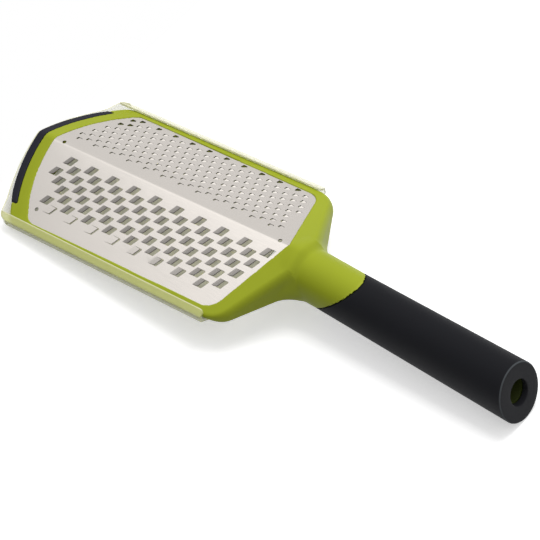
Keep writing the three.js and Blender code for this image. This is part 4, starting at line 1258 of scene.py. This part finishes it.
class GRATER_OT_stage(bpy.types.Operator):
    """Pale floor, soft light and the camera"""

    bl_idname = "grater.stage"
    bl_label = "Stage"

    def execute(self, context):
        scene = context.scene
        scene.view_settings.view_transform = "Standard"
        shape = bmesh.new()
        bmesh.ops.create_grid(shape, x_segments=24, y_segments=24, size=FLOOR_HALF)
        mesh = bpy.data.meshes.new("floor")
        shape.to_mesh(mesh)
        shape.free()
        floor = bpy.data.objects.new("floor", mesh)
        scene.collection.objects.link(floor)
        # the table ends at the tip, so that the guard shows when it is drawn off
        floor.location = (FLOOR_HALF - TABLE_EDGE, 0, -FLOOR_GAP)
        material, tree, output, place = new_material("white_paper_floor")
        path = add_node(tree, "ShaderNodeLightPath")
        seen = add_node(tree, "ShaderNodeMath", {"operation": "MAXIMUM"})
        tree.links.new(path.outputs["Is Camera Ray"], seen.inputs[0])
        tree.links.new(path.outputs["Is Glossy Ray"], seen.inputs[1])
        any_ray = add_node(tree, "ShaderNodeMath", {"operation": "MAXIMUM"})
        tree.links.new(seen.outputs[0], any_ray.inputs[0])
        tree.links.new(path.outputs["Is Transmission Ray"], any_ray.inputs[1])
        lift = add_node(tree, "ShaderNodeMath", {"operation": "MULTIPLY", 1: 0.45})
        tree.links.new(any_ray.outputs[0], lift.inputs[0])
        # light that the floor throws back onto the object is that of a dark grey table
        paper = add_node(tree, "ShaderNodeMix", {"data_type": "RGBA"}, {"Factor": path.outputs["Is Diffuse Ray"]})
        paper.inputs["A"].default_value = (0.9, 0.9, 0.9, 1)
        paper.inputs["B"].default_value = (0.2, 0.2, 0.2, 1)
        matt = add_node(tree, "ShaderNodeBsdfPrincipled", {"Roughness": 0.9, "Emission Color": (1, 1, 1, 1)},
                        {"Emission Strength": lift.outputs[0]})
        tree.links.new(paper.outputs["Result"], matt.inputs["Base Color"])
        tree.links.new(matt.outputs["BSDF"], output.inputs["Surface"])
        mesh.materials.append(material)

        world = bpy.data.worlds.new("soft studio")
        scene.world = world
        world.use_nodes = True
        tree = world.node_tree
        tree.nodes.clear()
        sky = add_node(tree, "ShaderNodeOutputWorld")
        path = add_node(tree, "ShaderNodeLightPath")
        place = add_node(tree, "ShaderNodeTexCoord")
        # the studio's dome: dim beyond the tip, with two soft ceiling panels. The near slope mirrors one, and the
        # raised fine teeth mirror the other
        toward = place.outputs["Generated"]
        dome = add_node(tree, "ShaderNodeVectorMath", {"operation": "DOT_PRODUCT", 1: DOME_AXIS}, {0: toward})
        wall = add_node(tree, "ShaderNodeMapRange", {"From Min": -0.28, "From Max": 0.03,
                                                     "To Min": 0.2, "To Max": 0.7},
                        {"Value": dome.outputs["Value"]})
        overhead = add_node(tree, "ShaderNodeVectorMath", {"operation": "DOT_PRODUCT", 1: NEAR_PANEL},
                            {0: toward})
        panel = add_node(tree, "ShaderNodeMapRange", {"interpolation_type": "SMOOTHSTEP", "From Min": 0.945,
                                                      "From Max": 0.992, "To Min": 0.0, "To Max": 0.42},
                         {"Value": overhead.outputs["Value"]})
        beyond = add_node(tree, "ShaderNodeVectorMath", {"operation": "DOT_PRODUCT", 1: FAR_PANEL},
                          {0: toward})
        ceiling = add_node(tree, "ShaderNodeMapRange", {"interpolation_type": "SMOOTHSTEP", "From Min": 0.915,
                                                        "From Max": 0.985, "To Min": 0.0, "To Max": 0.45},
                           {"Value": beyond.outputs["Value"]})
        upper = add_node(tree, "ShaderNodeMath", {"operation": "ADD"})
        tree.links.new(wall.outputs["Result"], upper.inputs[0])
        tree.links.new(ceiling.outputs["Result"], upper.inputs[1])
        fade = add_node(tree, "ShaderNodeMath", {"operation": "ADD"})
        tree.links.new(upper.outputs[0], fade.inputs[0])
        tree.links.new(panel.outputs["Result"], fade.inputs[1])
        above = add_node(tree, "ShaderNodeVectorMath", {"operation": "DOT_PRODUCT", 1: SKY_AXIS}, {0: toward})
        glow = add_node(tree, "ShaderNodeMapRange", {"From Min": -0.5, "From Max": 1.0,
                                                     "To Min": 0.03, "To Max": 0.75},
                        {"Value": above.outputs["Value"]})
        ambient = add_node(tree, "ShaderNodeBackground", {"Color": (1, 1, 1, 1)},
                           {"Strength": glow.outputs["Result"]})
        shown = add_node(tree, "ShaderNodeBackground", {"Color": (1, 1, 1, 1), "Strength": 1.0})
        mirrored = add_node(tree, "ShaderNodeBackground", {"Color": (1, 0.985, 0.965, 1)},
                            {"Strength": fade.outputs[0]})
        first = add_node(tree, "ShaderNodeMixShader", None, {"Fac": path.outputs["Is Glossy Ray"]})
        tree.links.new(ambient.outputs[0], first.inputs[1])
        tree.links.new(mirrored.outputs[0], first.inputs[2])
        clear = add_node(tree, "ShaderNodeMath", {"operation": "MAXIMUM"})
        tree.links.new(path.outputs["Is Camera Ray"], clear.inputs[0])
        tree.links.new(path.outputs["Is Transmission Ray"], clear.inputs[1])
        second = add_node(tree, "ShaderNodeMixShader", None, {"Fac": clear.outputs[0]})
        tree.links.new(first.outputs[0], second.inputs[1])
        tree.links.new(shown.outputs[0], second.inputs[2])
        tree.links.new(second.outputs[0], sky.inputs["Surface"])

        add_light("key_softbox", KEY_PLACE, (0, 0, 0), KEY_SIZE, KEY_POWER)

        data = bpy.data.cameras.new("photo_camera")
        data.sensor_fit = "HORIZONTAL"
        data.angle = CAMERA_ANGLE
        data.clip_start = 0.05
        data.clip_end = 20
        camera = bpy.data.objects.new("photo_camera", data)
        scene.collection.objects.link(camera)
        turn = Matrix((CAMERA_RIGHT, -CAMERA_DOWN, -CAMERA_AHEAD)).transposed().to_4x4()
        camera.matrix_world = Matrix.Translation(CAMERA_PLACE) @ turn
        scene.camera = camera
        return {"FINISHED"}


class GRATER_PT_panel(bpy.types.Panel):
    """Lists the grater's pieces"""

    bl_label = "Grater"
    bl_idname = "GRATER_PT_panel"
    bl_space_type = "VIEW_3D"
    bl_region_type = "UI"
    bl_category = "Grater"

    def draw(self, context):
        for operator in OPERATORS:
            self.layout.operator(operator.bl_idname)


OPERATORS = (GRATER_OT_stage, GRATER_OT_head_frame, GRATER_OT_tip_pad, GRATER_OT_grip_sleeve,
             GRATER_OT_grating_blade, GRATER_OT_blade_guard, GRATER_OT_inner_pieces)
CLASSES = (GraterSizes, GraterColours, *OPERATORS, GRATER_PT_panel)


def register():
    for entry in CLASSES:
        bpy.utils.register_class(entry)
    bpy.types.Scene.grater_sizes = bpy.props.PointerProperty(type=GraterSizes)
    bpy.types.Scene.grater_colours = bpy.props.PointerProperty(type=GraterColours)


def unregister():
    del bpy.types.Scene.grater_colours
    del bpy.types.Scene.grater_sizes
    for entry in reversed(CLASSES):
        bpy.utils.unregister_class(entry)


def main():
    register()
    bpy.ops.grater.stage()
    bpy.ops.grater.head_frame()
    bpy.ops.grater.tip_pad()
    bpy.ops.grater.grip_sleeve()
    bpy.ops.grater.grating_blade()
    bpy.ops.grater.blade_guard()
    bpy.ops.grater.inner_pieces()


if __name__ == "__main__":
    main()
